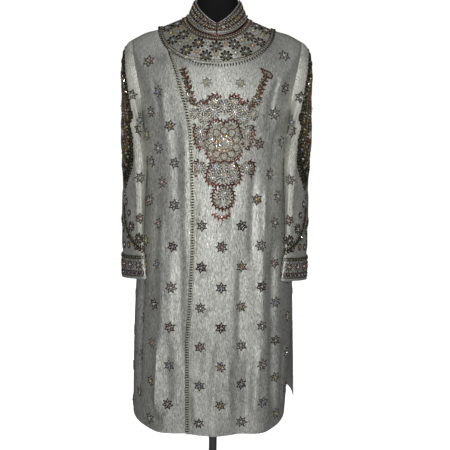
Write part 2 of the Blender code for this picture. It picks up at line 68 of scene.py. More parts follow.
# closing edge: station down the coat and place across, negative on the wearer's right
closing = [
    (1, -0.1500), (1.04, -0.1235), (1.25, -0.1178), (1.5, -0.1105), (2, -0.1025), (2.5, -0.0967),
    (3, -0.0893), (3.5, -0.0818), (4, -0.0755), (5, -0.0675), (6, -0.0645), (7, -0.0608),
    (7.6, -0.0608), (8.2, -0.0662), (8.8, -0.0755), (9.4, -0.0755), (10, -0.0740),
]

# largest folds of the skirt: side, place across, top and full-depth stations, width, height
skirtFolds = [
    ("front", -0.60, 6.2, 9.6, 0.13, 0.007),
    ("front", -0.28, 7.2, 10.0, 0.09, -0.005),
    ("front", 0.06, 7.6, 10.0, 0.12, 0.005),
    ("front", 0.36, 6.4, 9.4, 0.11, -0.006),
    ("front", 0.64, 6.0, 9.8, 0.12, 0.007),
    ("back", -0.55, 6.4, 9.8, 0.15, 0.010),
    ("back", -0.18, 6.8, 10.0, 0.14, -0.008),
    ("back", 0.22, 6.6, 9.6, 0.15, 0.009),
    ("back", 0.58, 6.8, 10.0, 0.14, -0.008),
]

# creases, in millimetres: from (across, height) to (across, height), sideways bow,
# half width and height of the ridge; negative heights are troughs
frontCreases = [
    # right front, below the waist
    (-222, 860, -236, 380, 4, 13, -11), (-143, 840, -145, 600, -3, 8, 5),
    (-146, 660, -158, 370, 3, 9, 7), (-116, 850, -116, 600, 3, 14, 4),
    (-119, 660, -119, 400, 4, 13, -6), (-182, 470, -142, 370, 4, 10, -5),
    (-86, 500, -136, 360, 6, 10, 5), (-88, 920, -86, 520, 4, 12, -6.5),
    # right front, above it
    (-159, 1040, -168, 760, 4, 10, -5), (-141, 1000, -142, 820, 3, 6, 3.5),
    (-74, 1220, -70, 800, 3, 11, 4.2), (-102, 1260, -94, 940, 4, 14, -2.8),
    (-186, 1340, -150, 1190, -8, 10, -3), (-190, 1220, -158, 1080, 6, 8, 3.6),
    (-140, 1310, -118, 1130, 6, 9, 3.3),
    # left front, below the waist
    (174, 920, 172, 600, 4, 14, -11), (172, 680, 190, 370, 4, 15, -12.5),
    (222, 620, 226, 380, 3, 10, -5), (133, 920, 136, 620, 2, 11, 5.5),
    (134, 640, 119, 380, 4, 11, 5.5), (0, 830, -56, 775, 3, 6, -4),
    (6, 730, -34, 672, 3, 6, -4), (18, 660, 3, 370, 4, 11, -6),
    (76, 880, 79, 540, 4, 10, -6), (102, 620, 100, 380, 4, 11, -5.5),
    (42, 600, 53, 370, 3, 11, 5), (-12, 660, -44, 520, 4, 10, -4.5),
    (-48, 500, -40, 380, 3, 10, 4),
    # left front, above it
    (108, 1120, 104, 800, 3, 11, -5.5), (141, 1060, 139, 900, 2, 6, 4.5),
    (168, 1220, 166, 980, 4, 10, -4.5), (182, 1340, 142, 1200, 8, 9, -4.5),
    (194, 1280, 150, 1140, 6, 7, 3.6), (60, 1100, 44, 900, 4, 10, -2.6),
    (-24, 1040, -40, 840, 3, 9, 3),
]
backCreases = [
    (-170, 1300, -130, 1120, 10, 9.9, -4.2), (172, 1320, 126, 1130, -10, 9.9, -4.2),
    (-60, 1220, -52, 980, 6, 12.6, 3.4), (64, 1160, 50, 900, -6, 11.7, 3.1),
    (-116, 1040, -124, 460, 12, 12.6, -5.6), (-30, 960, -52, 380, -10, 11.7, 5),
    (40, 920, 34, 420, 8, 12.6, -4.8), (112, 1000, 122, 400, -10, 11.7, 5.6),
    (186, 900, 196, 400, 8, 12.6, -5.6), (-188, 880, -200, 380, -8, 11.7, 5.6),
    (10, 1360, 4, 1220, 3, 10.8, -2.2), (150, 740, 150, 360, -5, 9.9, -4.2),
    (-80, 660, -88, 360, 5, 9.9, -3.9),
]
# sleeves: across is measured round the tube from its outer face, positive to the front,
# and the second number is the distance down from the armhole
sleeveCreases = [
    (75, 50, 62, 580, 4, 5.4, 3.9), (50, 100, 66, 300, 6, 8.1, -3.1),
    (-40, 60, -66, 260, -6, 9, 3.4), (20, 120, -10, 240, 6, 9, -2.6),
    (60, 270, -20, 310, 4, 7.2, -3.4), (52, 310, -34, 360, -4, 7.2, 2.9),
    (-62, 300, 10, 370, 5, 7.2, -3.1), (58, 400, 0, 440, 4, 6.3, -2.3),
    (-60, 400, -50, 540, 4, 8.1, 3.1), (110, 80, 104, 280, 6, 8.1, -3.9),
    (-112, 120, -100, 400, -6, 9, -3.6),
]


def smoothRows(table, place):
    # smooth curve through evenly numbered rows, read at fractional places
    table, place = np.asarray(table, float), np.asarray(place, float)
    last = len(table) - 1
    i = np.minimum(np.maximum(place, 0).astype(int), last - 1)
    t = (place - i)[..., None]
    p, q = table[i], table[i + 1]
    startSlope = (q - table[np.maximum(i - 1, 0)]) / 2
    endSlope = (table[np.minimum(i + 2, last)] - p) / 2
    startSlope = np.where((i == 0)[..., None], q - p, startSlope)
    endSlope = np.where((i + 2 > last)[..., None], q - p, endSlope)
    h = t * t * (3 - 2 * t)
    return (1 - h) * p + h * q + t * (1 - t) ** 2 * startSlope - t * t * (1 - t) * endSlope


def ease(t):
    t = np.clip(t, 0, 1)
    return t * t * (3 - 2 * t)


def distances(points):
    # how far each point of a path, or of every row of a grid, lies from its first one
    steps = np.linalg.norm(np.diff(points, axis=-2), axis=-1)
    return np.concatenate([np.zeros_like(steps[..., :1]), np.cumsum(steps, axis=-1)], axis=-1)


def unit(ways):
    return ways / np.maximum(np.linalg.norm(ways, axis=-1, keepdims=True), 1e-12)


def nonzero(values, least=1e-12):
    return np.where(np.abs(values) < least, least, values)


def closedUp(grid):
    return np.concatenate([grid, grid[:, :1]], axis=1)


def quadsOf(grid):
    corners = [grid[:-1, :-1], grid[1:, :-1], grid[1:, 1:], grid[:-1, 1:]]
    return np.stack(corners, axis=-1).reshape(-1, 4)


def ringsAt(stations):
    rows = smoothRows(coatRings, stations)
    # the shoulder runs out straight to its tip, where the sleeve takes over
    middle, tip, below = (np.array(coatRings[k]) for k in (2, 3, 4))
    t = np.clip(np.asarray(stations, float) - 2, 0, 1)[..., None]
    level = ((below - middle) / 2 - (tip - middle)) * sideColumns
    rows = rows + t * t * (1 - t) * level
    return {name: rows[..., k][..., None] for k, name in enumerate(ringColumns)}


def foldHeight(side, share, station):
    total = np.zeros_like(share)
    for foldSide, place, top, full, width, height in skirtFolds:
        if foldSide == side:
            grown = ease((station - top) / (full - top))
            total += height * grown * np.exp(-(((share - place) / width) ** 2))
    return total


def ringPoints(ring, angles, side, stations=None):
    # angle 0 is the front centre, 90 degrees the wearer's left
    front = side == "front"
    half = np.where(np.sin(angles) > 0, ring["left"], ring["right"]) if front else ring["rear"]
    endY, endZ = (ring[side + "Y"], ring[side + "Z"])
    power = 2 / ring["square"]
    across = np.sign(np.sin(angles)) * np.abs(np.sin(angles)) ** power
    lean = np.abs(np.cos(angles)) ** power
    e = coat["shoulderSoftness"]
    soft = (np.sqrt(lean * lean + e * e) - e) / (np.sqrt(1 + e * e) - e)
    x = half * across
    y = ring["sideY"] + (endY - ring["sideY"]) * lean
    z = ring["sideZ"] + (endZ - ring["sideZ"]) * soft
    if stations is not None:
        outX, outY = x, (y - ring["sideY"]) * half / np.abs(endY - ring["sideY"])
        height = foldHeight(side, across, stations[..., None])
        size = np.maximum(np.hypot(outX, outY), 1e-9)
        x, y = x + outX / size * height, y + outY / size * height
    return np.stack(np.broadcast_arrays(x, y, z), axis=-1)


def closingX(stations):
    return np.interp(stations, *zip(*closing))


def sideAngle(stations, side):
    ring = {name: column[:, 0] for name, column in ringsAt(stations).items()}
    depth = np.abs(ring[side + "Y"] - ring["sideY"])
    openBy = coat["seamGap"] / 2 + np.where(stations > hip, coat["slitOpen"] / 2, 0)
    plain = np.arccos(np.minimum(1, (openBy / depth) ** (ring["square"] / 2)))
    share = np.clip((stations - shoulderTip) / (underarm - shoulderTip), 0, 1)
    widest = coat["armholeFront"] if side == "front" else coat["armholeBack"]
    reach = widest * 2 * np.sqrt(share * (1 - share))
    hole = np.arccos(np.minimum(1, reach / depth) ** (ring["square"] / 2))
    angle = np.minimum(plain, hole)
    return angle if side == "front" else pi - angle


def angleAt(stations, x):
    ring = ringsAt(stations)
    share = np.minimum(1, np.abs(x) / ring["right"][:, 0])
    return np.sign(x) * np.arcsin(share ** (ring["square"][:, 0] / 2))


def closingAngle(stations):
    angle = angleAt(stations, closingX(stations))
    return np.where(stations <= yoke, -sideAngle(stations, "front"), angle)


mesh = dict(step=0.0056, samples=2001, paths=(0, 1.0, 1.45), closer=6, braidRow=0.04)


def rowStations():
    # stations an even distance apart down the coat, closer round the armhole's two ends
    fine = np.linspace(0, hem, mesh["samples"])
    angles = np.broadcast_to(mesh["paths"], (len(fine), len(mesh["paths"])))
    paths = ringPoints(ringsAt(fine), angles, "front")
    moved = np.linalg.norm(np.diff(paths, axis=0), axis=2).max(axis=1)
    run = np.concatenate([[0], np.cumsum(moved)])
    marks = []
    for low, high in ((0, yoke), (yoke, shoulderTip), (shoulderTip, underarm), (underarm, hem)):
        start, end = np.interp([low, high], fine, run)
        count = int(np.ceil((end - start) / mesh["step"])) + 1
        share = np.linspace(0, 1, count)
        if low == shoulderTip:
            share = (1 - np.cos(np.linspace(0, pi, count + mesh["closer"]))) / 2
        marks.append(np.interp(start + share[:-1] * (end - start), run, fine))
    return np.sort(np.concatenate(marks + [[yoke + mesh["braidRow"], hem]]))


fade = dict(start=0.25, end=0.30)  # the shares of a crease over which it rises and falls


def creaseHeight(across, down, creases):
    # soft ridges and troughs along bowed lines, tapering to nothing at both ends
    total = np.zeros_like(across)
    for crease in creases:
        a0, d0, a1, d1, bow, width, height = (n / 1000 for n in crease)
        length = np.hypot(a1 - a0, d1 - d0)
        alongX, alongY = (a1 - a0) / length, (d1 - d0) / length
        t = ((across - a0) * alongX + (down - d0) * alongY) / length
        off = (across - a0) * alongY - (down - d0) * alongX
        off = off - bow * (1 - (2 * t - 1) ** 2)
        taper = ease(t / fade["start"]) * ease((1 - t) / fade["end"])
        total += height * taper * np.exp(-((off / width) ** 2))
    return total


# slow uneven waves of a heavy silk that hangs freely: waves across and down, shift and size
waves = [
    (21, 3.1, 0.4, 0.9), (34, -5.3, 2.1, 0.7), (13, 7.9, 4.0, 0.9),
    (55, 4.2, 1.3, 0.35), (47, -11.0, 5.2, 0.35), (28, 17.0, 3.3, 0.4),
]


def ripple(across, down):
    total = sum(size * np.sin(a * across + d * down + phase) for a, d, phase, size in waves)
    return total / 3


search = dict(skip=4, rounds=24, far=30)


class Cloth:
    # a grid of points on a piece of cloth, with its across and down measures at each point
    def __init__(self, points, across, down, facing=1, closed=False, rises=-1):
        self.points, self.across, self.down = points, across, down
        self.facing, self.closed, self.rises = facing, closed, rises
        self.sides = {"cloth": (across, down)}
        self.normals = self.outward()

    def outward(self):
        rows, columns = self.slopes(self.points)
        if self.closed:
            columns[:, 0] = columns[:, -1] = self.points[:, 1] - self.points[:, -2]
        return unit(np.cross(rows, columns) * self.facing)

    def slopes(self, *grids):
        return [np.gradient(grid, axis=k) for grid in grids for k in (0, 1)]

    def pushed(self, height):
        self.points = self.points + self.normals * height[..., None]
        self.normals = self.outward()

    def sample(self, grid, i, j):
        i0 = np.clip(i.astype(int), 0, grid.shape[0] - 2)
        j0 = np.clip(j.astype(int), 0, grid.shape[1] - 2)
        a, b = i - i0, j - j0
        if grid.ndim == 3:
            a, b = a[:, None], b[:, None]
        top, low = (grid[k, j0] * (1 - b) + grid[k, j0 + 1] * b for k in (i0, i0 + 1))
        return top * (1 - a) + low * a

    def find(self, u, v, measure="cloth"):
        # grid row and column of the places (u, v): the nearest grid point, then corrected
        across, down = self.sides[measure]
        rows, columns = across.shape
        skip, far = search["skip"], search["far"]
        i, j = (g.ravel().astype(float) for g in np.mgrid[1:rows:skip, 1:columns:skip])
        at = i.astype(int), j.astype(int)
        best = ((across[at] - u[:, None]) ** 2 + (down[at] - v[:, None]) ** 2).argmin(axis=1)
        i, j = i[best], j[best]
        slopes = self.slopes(across, down)
        for _ in range(search["rounds"]):
            missU = u - self.sample(across, i, j)
            missV = v - self.sample(down, i, j)
            uI, uJ, vI, vJ = (self.sample(grid, i, j) for grid in slopes)
            size = nonzero(uI * vJ - uJ * vI)
            stepI, stepJ = (missU * vJ - missV * uJ) / size, (uI * missV - vI * missU) / size
            i = np.clip(i + np.clip(stepI, -far, far), 0, rows - 1)
            j = np.clip(j + np.clip(stepJ, -far, far), 0, columns - 1)
        return i, j

    def frames(self, u, v, measure="cloth"):
        # points of the cloth, the way out of it, the unit ways across and up, and how far
        # the cloth moves for a step of either measure
        i, j = self.find(u, v, measure)
        place = self.sample(self.points, i, j)
        out = unit(self.sample(self.normals, i, j))
        pI, pJ = (self.sample(grid, i, j) for grid in self.slopes(self.points))
        measures = self.slopes(*self.sides[measure])
        uI, uJ, vI, vJ = (self.sample(grid, i, j)[:, None] for grid in measures)
        size = nonzero(uI * vJ - uJ * vI)
        stepU, stepV = (pI * vJ - pJ * vI) / size, (pJ * uI - pI * uJ) / size
        right = unit(stepU - out * np.sum(stepU * out, axis=1, keepdims=True))
        up = np.cross(out, right)
        up *= np.where(np.sum(up * stepV, axis=1) * self.rises > 0, 1.0, -1.0)[:, None]
        return place, out, right, up, stepU, stepV


def clothPanel(side, stations, first, last, columns):
    # evenly spaced points of a body panel from one angle to another in every row
    fine = 320
    wide = (0.0 if side == "front" else pi) + np.linspace(-pi / 2, pi / 2, fine + 1)
    path = ringPoints(ringsAt(stations), np.broadcast_to(wide, (len(stations), fine + 1)), side)
    run = distances(path)
    run -= run[:, fine // 2 : fine // 2 + 1]
    across = np.empty((len(stations), columns))
    angles = np.empty_like(across)
    for i in range(len(stations)):
        start, end = np.interp([first[i], last[i]], wide, run[i])
        across[i] = np.linspace(start, end, columns)
        angles[i] = np.interp(across[i], run[i], wide)
    return ringPoints(ringsAt(stations), angles, side, stations), across, angles


yokeDepth = 0.078
hang = dict(top=1.30, over=0.5, height=0.0011)  # the ripple grows as the cloth hangs free
lap = dict(past=0.004, over=0.050)  # where the top front settles back beyond the underlap


def buildPanel(columns, side, stations, first, last, creases, edgeX=None):
    points, across, angles = clothPanel(side, stations, first, last, columns)
    height = points[..., 2].copy()
    cloth = Cloth(points, across, height, rises=1)
    free = ease((hang["top"] - height) / hang["over"])
    bumps = creaseHeight(across, height, creases)
    bumps += hang["height"] * free * ripple(across, height)
    if edgeX is not None:
        reach = edgeX[:, None] + coat["underlap"] + lap["past"]
        past = (points[..., 0] - reach) / lap["over"]
        bumps += (coat["cloth"] + coat["overlapGap"]) * (1 - ease(past))
    cloth.pushed(bumps)
    # other measures: round the yoke, and along the closing edge
    halfway = np.radians(np.arange(-90, 91)) + (0.0 if side == "front" else pi)
    run = distances(ringPoints(ringsAt(np.array([yoke])), halfway[None], side)[0])
    yokeRun = np.interp(angles, halfway, run - run[90])
    cloth.sides["yoke"] = (yokeRun, np.broadcast_to(-yokeDepth * stations[:, None], angles.shape))
    edgeRun = np.broadcast_to(-distances(points[:, 0])[:, None], angles.shape)
    cloth.sides["edge"] = (across - across[:, :1], edgeRun)
    return cloth


sharpFrom = 50  # degrees between two faces


def placed(name, data):
    piece = bpy.data.objects.new(name, data)
    bpy.context.scene.collection.objects.link(piece)
    return piece


def makeMesh(name, verts, faces, materials, uv=None, slots=None):
    data = bpy.data.meshes.new(name)
    data.from_pydata(np.asarray(verts).tolist(), [], [tuple(f) for f in faces])
    for material in materials:
        data.materials.append(material)
    if slots is not None:
        data.polygons.foreach_set("material_index", np.asarray(slots, np.int32))
    if uv is not None:
        layer = data.uv_layers.new(name="cloth")
        order = np.empty(len(data.loops), np.int32)
        data.loops.foreach_get("vertex_index", order)
        layer.data.foreach_set("uv", np.asarray(uv, np.float32)[order].ravel())
    data.shade_smooth()
    data.set_sharp_from_angle(angle=radians(sharpFrom))
    data.update()
    return placed(name, data)


def shell(name, cloth, thick, materials, offset=0.0):
    # a closed thin wall: the outer grid, the same grid moved in, and the rims between
    rows, columns = cloth.across.shape
    outer = cloth.points + cloth.normals * (offset + (thick if offset else 0))
    inner = outer - cloth.normals * thick
    walked = np.cumsum(np.linalg.norm(np.gradient(cloth.points, axis=0), axis=2), axis=0)
    keep = columns - 1 if cloth.closed else columns
    total = rows * keep
    grid = np.arange(total).reshape(rows, keep)
    if cloth.closed:
        grid = closedUp(grid)
    edges = [(grid[0, 1:], grid[0, :-1]), (grid[-1, :-1], grid[-1, 1:])]
    if not cloth.closed:
        edges += [(grid[:-1, 0], grid[1:, 0]), (grid[1:, -1], grid[:-1, -1])]
    turn = cloth.facing
    quads = quadsOf(grid)[:, ::turn]
    faces = [quads, quads[:, ::-1] + total]
    faces += [np.stack([q, p, p + total, q + total], axis=-1)[:, ::turn] for p, q in edges]
    slots = np.concatenate([np.full(len(f), int(k == 1)) for k, f in enumerate(faces)])
    verts = np.concatenate([outer[:, :keep].reshape(-1, 3), inner[:, :keep].reshape(-1, 3)])
    uv = np.stack([cloth.across[:, :keep], -walked[:, :keep]], axis=-1).reshape(-1, 2)
    faces = np.concatenate(faces)
    return makeMesh(name, verts, faces, materials, np.concatenate([uv, uv]), slots)


def tube(name, points, radius, material, sides=8):
    # a round cord through the points
    ahead = unit(np.gradient(points, axis=0))
    side = unit(np.cross(ahead, (0, 0, 1.0)))
    up = np.cross(side, ahead)
    turn = np.linspace(0, 2 * pi, sides, endpoint=False)
    ring = side[:, None] * np.cos(turn)[:, None] + up[:, None] * np.sin(turn)[:, None]
    verts = (points[:, None] + ring * radius).reshape(-1, 3)
    grid = closedUp(np.arange(len(verts)).reshape(-1, sides))
    faces = [tuple(q) for q in quadsOf(grid)[:, [0, 3, 2, 1]]]
    faces += [tuple(grid[0, :-1][::-1]), tuple(grid[-1, :-1])]
    run = np.cumsum(np.linalg.norm(np.gradient(points, axis=0), axis=1))
    uv = np.stack(np.broadcast_arrays(turn[None] * radius, run[:, None]), axis=-1)
    return makeMesh(name, verts, faces, [material], uv.reshape(-1, 2))


class Wire:
    # one value in a material, so that shader maths reads as arithmetic
    def __init__(self, paint, socket):
        self.paint, self.socket = paint, socket

    def maths(self, operation, other):
        return self.paint.add("ShaderNodeMath", {"operation": operation}, {0: self, 1: other})

    def __add__(self, other):
        return self.maths("ADD", other)

    def __mul__(self, other):
        return self.maths("MULTIPLY", other)

    __radd__, __rmul__ = __add__, __mul__


class Paint:
    # a material and its nodes
    def __init__(self, name, **constants):
        self.material = bpy.data.materials.new(name)
        self.material.use_nodes = True
        self.tree = self.material.node_tree
        self.shader = self.tree.nodes["Principled BSDF"]
        self.set(**constants)

    def add(self, kind, settings=None, values=None, out=0):
        node = self.tree.nodes.new(kind)
        for key, value in (settings or {}).items():
            setattr(node, key, value)
        for key, value in (values or {}).items():
            self.give(node.inputs[key], value)
        return Wire(self, node.outputs[out])

    def give(self, socket, value):
        if isinstance(value, Wire):
            self.tree.links.new(value.socket, socket)
        else:
            socket.default_value = value

    def set(self, **values):
        for key, value in values.items():
            self.give(self.shader.inputs[key.replace("_", " ")], value)

    def mix(self, factor, a, b):
        a, b = ((*c, 1) if isinstance(c, tuple) else c for c in (a, b))
        return self.add("ShaderNodeMix", {"data_type": "RGBA"}, {0: factor, 6: a, 7: b}, 2)

    def noise(self, source, scale, detail=3.0, rough=0.5, warp=0.0, turn=0.0):
        # cloudy patches, stretched by a scale for each way of the cloth or the object
        where = self.add("ShaderNodeTexCoord", out={"UV": 2, "Object": 3}[source])
        place = self.add("ShaderNodeMapping", None, {0: where, 2: (0, 0, turn), 3: scale})
        values = {"Vector": place, "Scale": 1.0, "Detail": detail}
        values.update({"Roughness": rough, "Distortion": warp})
        return self.add("ShaderNodeTexNoise", None, values)

    def range(self, value, low, high, start=0.0, end=1.0):
        return self.add("ShaderNodeMapRange", None, {0: value, 1: low, 2: high, 3: start, 4: end})

    def bump(self, height, distance, strength, **below):
        values = {"Height": height, "Distance": distance, "Strength": strength, **below}
        return self.add("ShaderNodeBump", None, values)


def silkPaint(name, light, shade, crinkle=1.0, metal=0.55):
    # tissue silk: a crinkled ground of short upright streaks, with a fine plain weave
    # threads that lie across it spread the sheen up and down, so upright folds stand out
    paint = Paint(name, Sheen_Weight=0.05, Sheen_Roughness=0.35, Metallic=metal)
    paint.set(Anisotropic=0.85, Anisotropic_Rotation=0.25)
    streak = paint.noise("UV", (540, 105, 1), 3.0, 0.6, 1.2)
    slant = paint.noise("UV", (360, 80, 1), 3.0, 0.6, 1.4, turn=0.35)
    cloud = paint.noise("UV", (11, 5, 1))
    fine = paint.noise("UV", (1300, 700, 1), 2.0)
    # the crinkles' light and shade are painted into the colour as well as bumped: raised streaks
    # are painted lighter and their hollows painted darker, over the silk's own uneven tone
    crease = paint.range(streak * 0.55 + slant * 0.45, 0.36, 0.64)
    tone = paint.range(crease * 0.55 + cloud * 0.30 + fine * 0.20, 0.20, 0.84)
    paint.set(Base_Color=paint.mix(tone, shade, light))
    paint.set(Roughness=paint.range(crease, 0, 1, 0.52, 0.40))
    weave = paint.bump(fine, 0.0001, 0.35)
    paint.set(Normal=paint.bump(crease, 0.00045 * crinkle, 0.9, Normal=weave))
    return paint.material


def jerseyPaint():
    paint = Paint("black jersey", Specular_IOR_Level=0.2)
    knit = paint.noise("Object", (1400, 1400, 700), 2.0)
    soft = paint.noise("Object", (14, 14, 9), 2.0)
    paint.set(Base_Color=paint.mix(soft, (0.004, 0.004, 0.005), (0.009, 0.009, 0.010)))
    paint.set(Roughness=paint.range(knit, 0.3, 0.7, 0.72, 0.88))
    paint.set(Normal=paint.bump(knit, 0.0004, 0.5))
    return paint.material


def steelPaint():
    paint = Paint("polished steel", Metallic=1.0)
    brushed = paint.noise("Object", (60, 60, 900), 2.0)
    smear = paint.noise("Object", (9, 9, 9))
    paint.set(Base_Color=paint.mix(smear, (0.20, 0.20, 0.21), (0.29, 0.29, 0.30)))
    paint.set(Roughness=paint.range(brushed * 0.5 + smear * 0.5, 0.3, 0.7, 0.54, 0.68))
    return paint.material


# each silk's first tone is the painted highlight of its crinkles, the second their painted shade
ivory = silkPaint("ivory silk", (0.975, 0.985, 0.915), (0.146, 0.150, 0.132))
# the sleeves take a lighter copy of the same silk: less metal gives them more diffuse brightness
# where they turn from the lamps, and a dimmer highlight down their front
sleeveTones = (0.985, 0.985, 0.90), (0.150, 0.150, 0.130)
sleeveSilk = silkPaint("ivory silk of the sleeves", *sleeveTones, metal=0.36)
inner = silkPaint("ivory lining", (0.92, 0.90, 0.83), (0.66, 0.65, 0.59), 0.4)
jersey = jerseyPaint()
steel = steelPaint()

# body panels
stations = rowStations()
lower = stations[stations > yoke]
frontSide, backSide = sideAngle(stations, "front"), sideAngle(stations, "back")
neckEdge = ringPoints(ringsAt(stations), -frontSide[:, None], "front")[:, 0, 0]
edgeX = np.where(stations <= yoke, neckEdge, closingX(stations))
underEdge = angleAt(lower, closingX(lower) + coat["underlap"])
columns = dict(front_left=84, front_right=46, back=104)
ends = dict(
    front_left=("front", stations, closingAngle(stations), frontSide, frontCreases, edgeX),
    front_right=("front", lower, -sideAngle(lower, "front"), underEdge, frontCreases),
    back=("back", stations, backSide, 2 * pi - backSide, backCreases),
)
panels = {name: buildPanel(columns[name], *end) for name, end in ends.items()}
pieces = {}
for name, cloth in panels.items():
    pieces[name] = shell(name + "_silk", cloth, coat["cloth"], [ivory, inner])
print("body panels cut")

# sleeves: the tube's rings, its cap from the armhole and the cuff
sleeve = dict(
    rings=[  # height, x, y, half width, half thickness, turn in degrees, rise to the front
        (1.200, 0.2322, 0.000, 0.082, 0.0295, 14, 0.00),
        (1.120, 0.2266, -0.009, 0.080, 0.0315, 22, 0.03),
        (1.020, 0.2274, -0.024, 0.075, 0.0275, 24, 0.07),
        (0.905, 0.2285, -0.053, 0.069, 0.0210, 29, 0.14),
        (0.783, 0.2230, -0.086, 0.064, 0.0150, 38, 0.20),
    ],
    pressed=1.3, quarter=14, capRows=26, rows=84, cuffHeight=0.072,
    clear=0.0006, outFromTop=(0.93, 0, -0.37), leave=0.23, arrive=0.50,
    seamAt=0.088, seamDeep=0.0012, seamWide=0.0022,
    calmTop=0.05, calmCuff=0.085, calmOver=0.03, ripple=0.0007, rippleTall=1.4,
)


def armholeEdge(quarter):
    # the cap starts just outside the armhole and just inside its edge
    share = (1 - np.cos(np.linspace(0, pi, 2 * quarter + 1))) / 2
    hole = shoulderTip + (underarm - shoulderTip) * share
    path, ways = [], []
    step, turn = 0.02, 0.012  # down the coat and round it, for the way out of the cloth
    for side, rows, way in (("front", hole, 1), ("back", hole[-2:0:-1], -1)):
        angle = sideAngle(rows, side)
        edge, near, low, high = (
            ringPoints(ringsAt(rows + down), (angle - back)[:, None], side, rows + down)[:, 0]
            for down, back in ((0, 0), (0, turn * way), (step, 0), (-step, 0))
        )
        out = np.cross(low - high, (edge - near) * way)
        out[np.minimum(np.abs(rows - shoulderTip), np.abs(rows - underarm)) < step, 1] = 0
        path.append(edge)
        ways.append(unit(out))
    path, ways = np.concatenate(path), np.concatenate(ways)
    return path + (ways + unit(path.mean(axis=0) - path)) * sleeve["clear"]


def sleeveGrid():
    quarter = sleeve["quarter"]
    psi = 2 * pi * np.arange(4 * quarter) / (4 * quarter)
    table = smoothRows(sleeve["rings"], np.linspace(0, 4, sleeve["rows"]))
    z, x, y, wide, thick, turn, rise = (table[:, k][:, None] for k in range(7))
    # pressed flatter than an ellipse, so its front and back edges turn quickly
    flat = np.sign(np.cos(psi)) * np.abs(np.cos(psi)) ** sleeve["pressed"]
    out, forward, turn = thick * flat, wide * np.sin(psi), np.radians(turn)
    tubeX = x + out * np.cos(turn) - forward * np.sin(turn)
    tubeY = y - forward * np.cos(turn) - out * np.sin(turn)
    tubeRows = np.stack([tubeX, tubeY, z + forward * rise], axis=-1)
    # the cap: curves from the armhole into the tube
    start, end = armholeEdge(quarter), tubeRows[0]
    high = ((1 + np.cos(psi)) / 2)[:, None]
    leave = unit(np.array(sleeve["outFromTop"]) * high + np.array([0, 0, -1.0]) * (1 - high))
    arrive = np.array([-0.10, 0, 0]) * high + (0, 0, 1)
    far = np.linalg.norm(end - start, axis=1, keepdims=True)
    b, c = start + leave * far * sleeve["leave"], end + arrive * far * sleeve["arrive"]
    t = (np.arange(sleeve["capRows"]) / sleeve["capRows"])[:, None, None]
    u = 1 - t
    cap = start * u**3 + b * 3 * u * u * t + c * 3 * u * t * t + end * t**3
    grid = np.concatenate([cap, tubeRows])
    half = 2 * quarter
    grid = np.concatenate([grid[:, half:], grid[:, : half + 1]], axis=1)
    across = distances(grid)
    across -= across[:, half : half + 1]
    down = np.broadcast_to(distances(grid[:, half])[:, None], across.shape)
    return grid, across, down


grid, across, down = sleeveGrid()
sleeveLength = down[-1, 0]
print("sleeve length", round(float(sleeveLength), 3))
for side, mirror in (("left", 1), ("right", -1)):
    cloth = Cloth(grid * (mirror, 1, 1), across, down, -mirror, True)
    aboveCuff = sleeveLength - sleeve["calmCuff"] - down
    calm = ease(down / sleeve["calmTop"]) * ease(aboveCuff / sleeve["calmOver"])
    offSeam = (np.abs(across) - sleeve["seamAt"]) / sleeve["seamWide"]
    bumps = creaseHeight(across, down, sleeveCreases) - sleeve["seamDeep"] * np.exp(-(offSeam**2))
    bumps += sleeve["ripple"] * ripple(across, down * sleeve["rippleTall"] + mirror)
    cloth.pushed(calm * bumps)
    panels["sleeve_" + side] = cloth
    silk = [sleeveSilk, inner]
    pieces["sleeve_" + side] = shell(f"sleeve_{side}_silk", cloth, coat["cloth"], silk)
    # the lowest part of the sleeve again, as a cloth of its own for the cuff band
    low = down[:, 0] >= sleeveLength - sleeve["cuffHeight"]
    cuff = Cloth(cloth.points[low], across[low], down[low], -mirror, True)
    panels["cuff_" + side] = cuff
print("sleeves set")

for side in ("left", "right"):
    cuff, band = panels["cuff_" + side], [ivory, inner]
    pieces["cuff_" + side] = shell(
        f"cuff_{side}_band", cuff, coat["trimCloth"], band, offset=coat["cuffLift"]
    )


# standing collar, its piping and the cord round its foot
collar = dict(
    dip=1.2, dipped=0.6, open=0.0012, rows=14, columns=150, piping=0.0015, cord=0.0020,
    radius=0.066, tall=0.043,
)


def collarPoints(height, angles):
    low, high = np.array(coatRings[0]), np.array(collarTop)
    rows = low + (high - low) * np.asarray(height)[:, None]
    ringHere = {name: rows[:, k][:, None] for k, name in enumerate(ringColumns)}
    front = ringPoints(ringHere, angles, "front")
    back = ringPoints(ringHere, angles, "back")
    points = np.where(np.cos(angles)[..., None] >= 0, front, back)
    # the top edge falls to a soft point at the centre front
    lean = collar["dipped"] * np.clip(np.cos(angles), 0, 1) ** collar["dip"]
    lean += (1 - collar["dipped"]) * (1 - np.abs(np.sin(angles)))
    dipped = ringHere["sideZ"] + (ringHere["frontZ"] - ringHere["sideZ"]) * lean
    rise = np.asarray(height)[:, None] * (dipped - points[..., 2])
    points[..., 2] += np.where(np.cos(angles) > 0, rise, 0)
    return points


def collarCloth():
    openAngle = collar["open"] / collarTop[1]
    heights = np.linspace(1, 0, collar["rows"])
    angles = np.linspace(openAngle, 2 * pi - openAngle, collar["columns"])
    angles = np.broadcast_to(angles, (len(heights), len(angles)))
    points = collarPoints(heights, angles)
    points[..., 2] += coat["seamGap"] + coat["cloth"] + coat["overlapGap"]
    run = distances(points)
    middle = run[:, collar["columns"] // 2][:, None]
    fallen = (1 - heights)[:, None]
    cloth = Cloth(points, run - middle, fallen * np.linalg.norm(points[0] - points[-1], axis=1))
    tall = np.broadcast_to(fallen * collar["tall"], angles.shape)
    cloth.sides["band"] = ((angles - pi) * collar["radius"], tall)
    return cloth


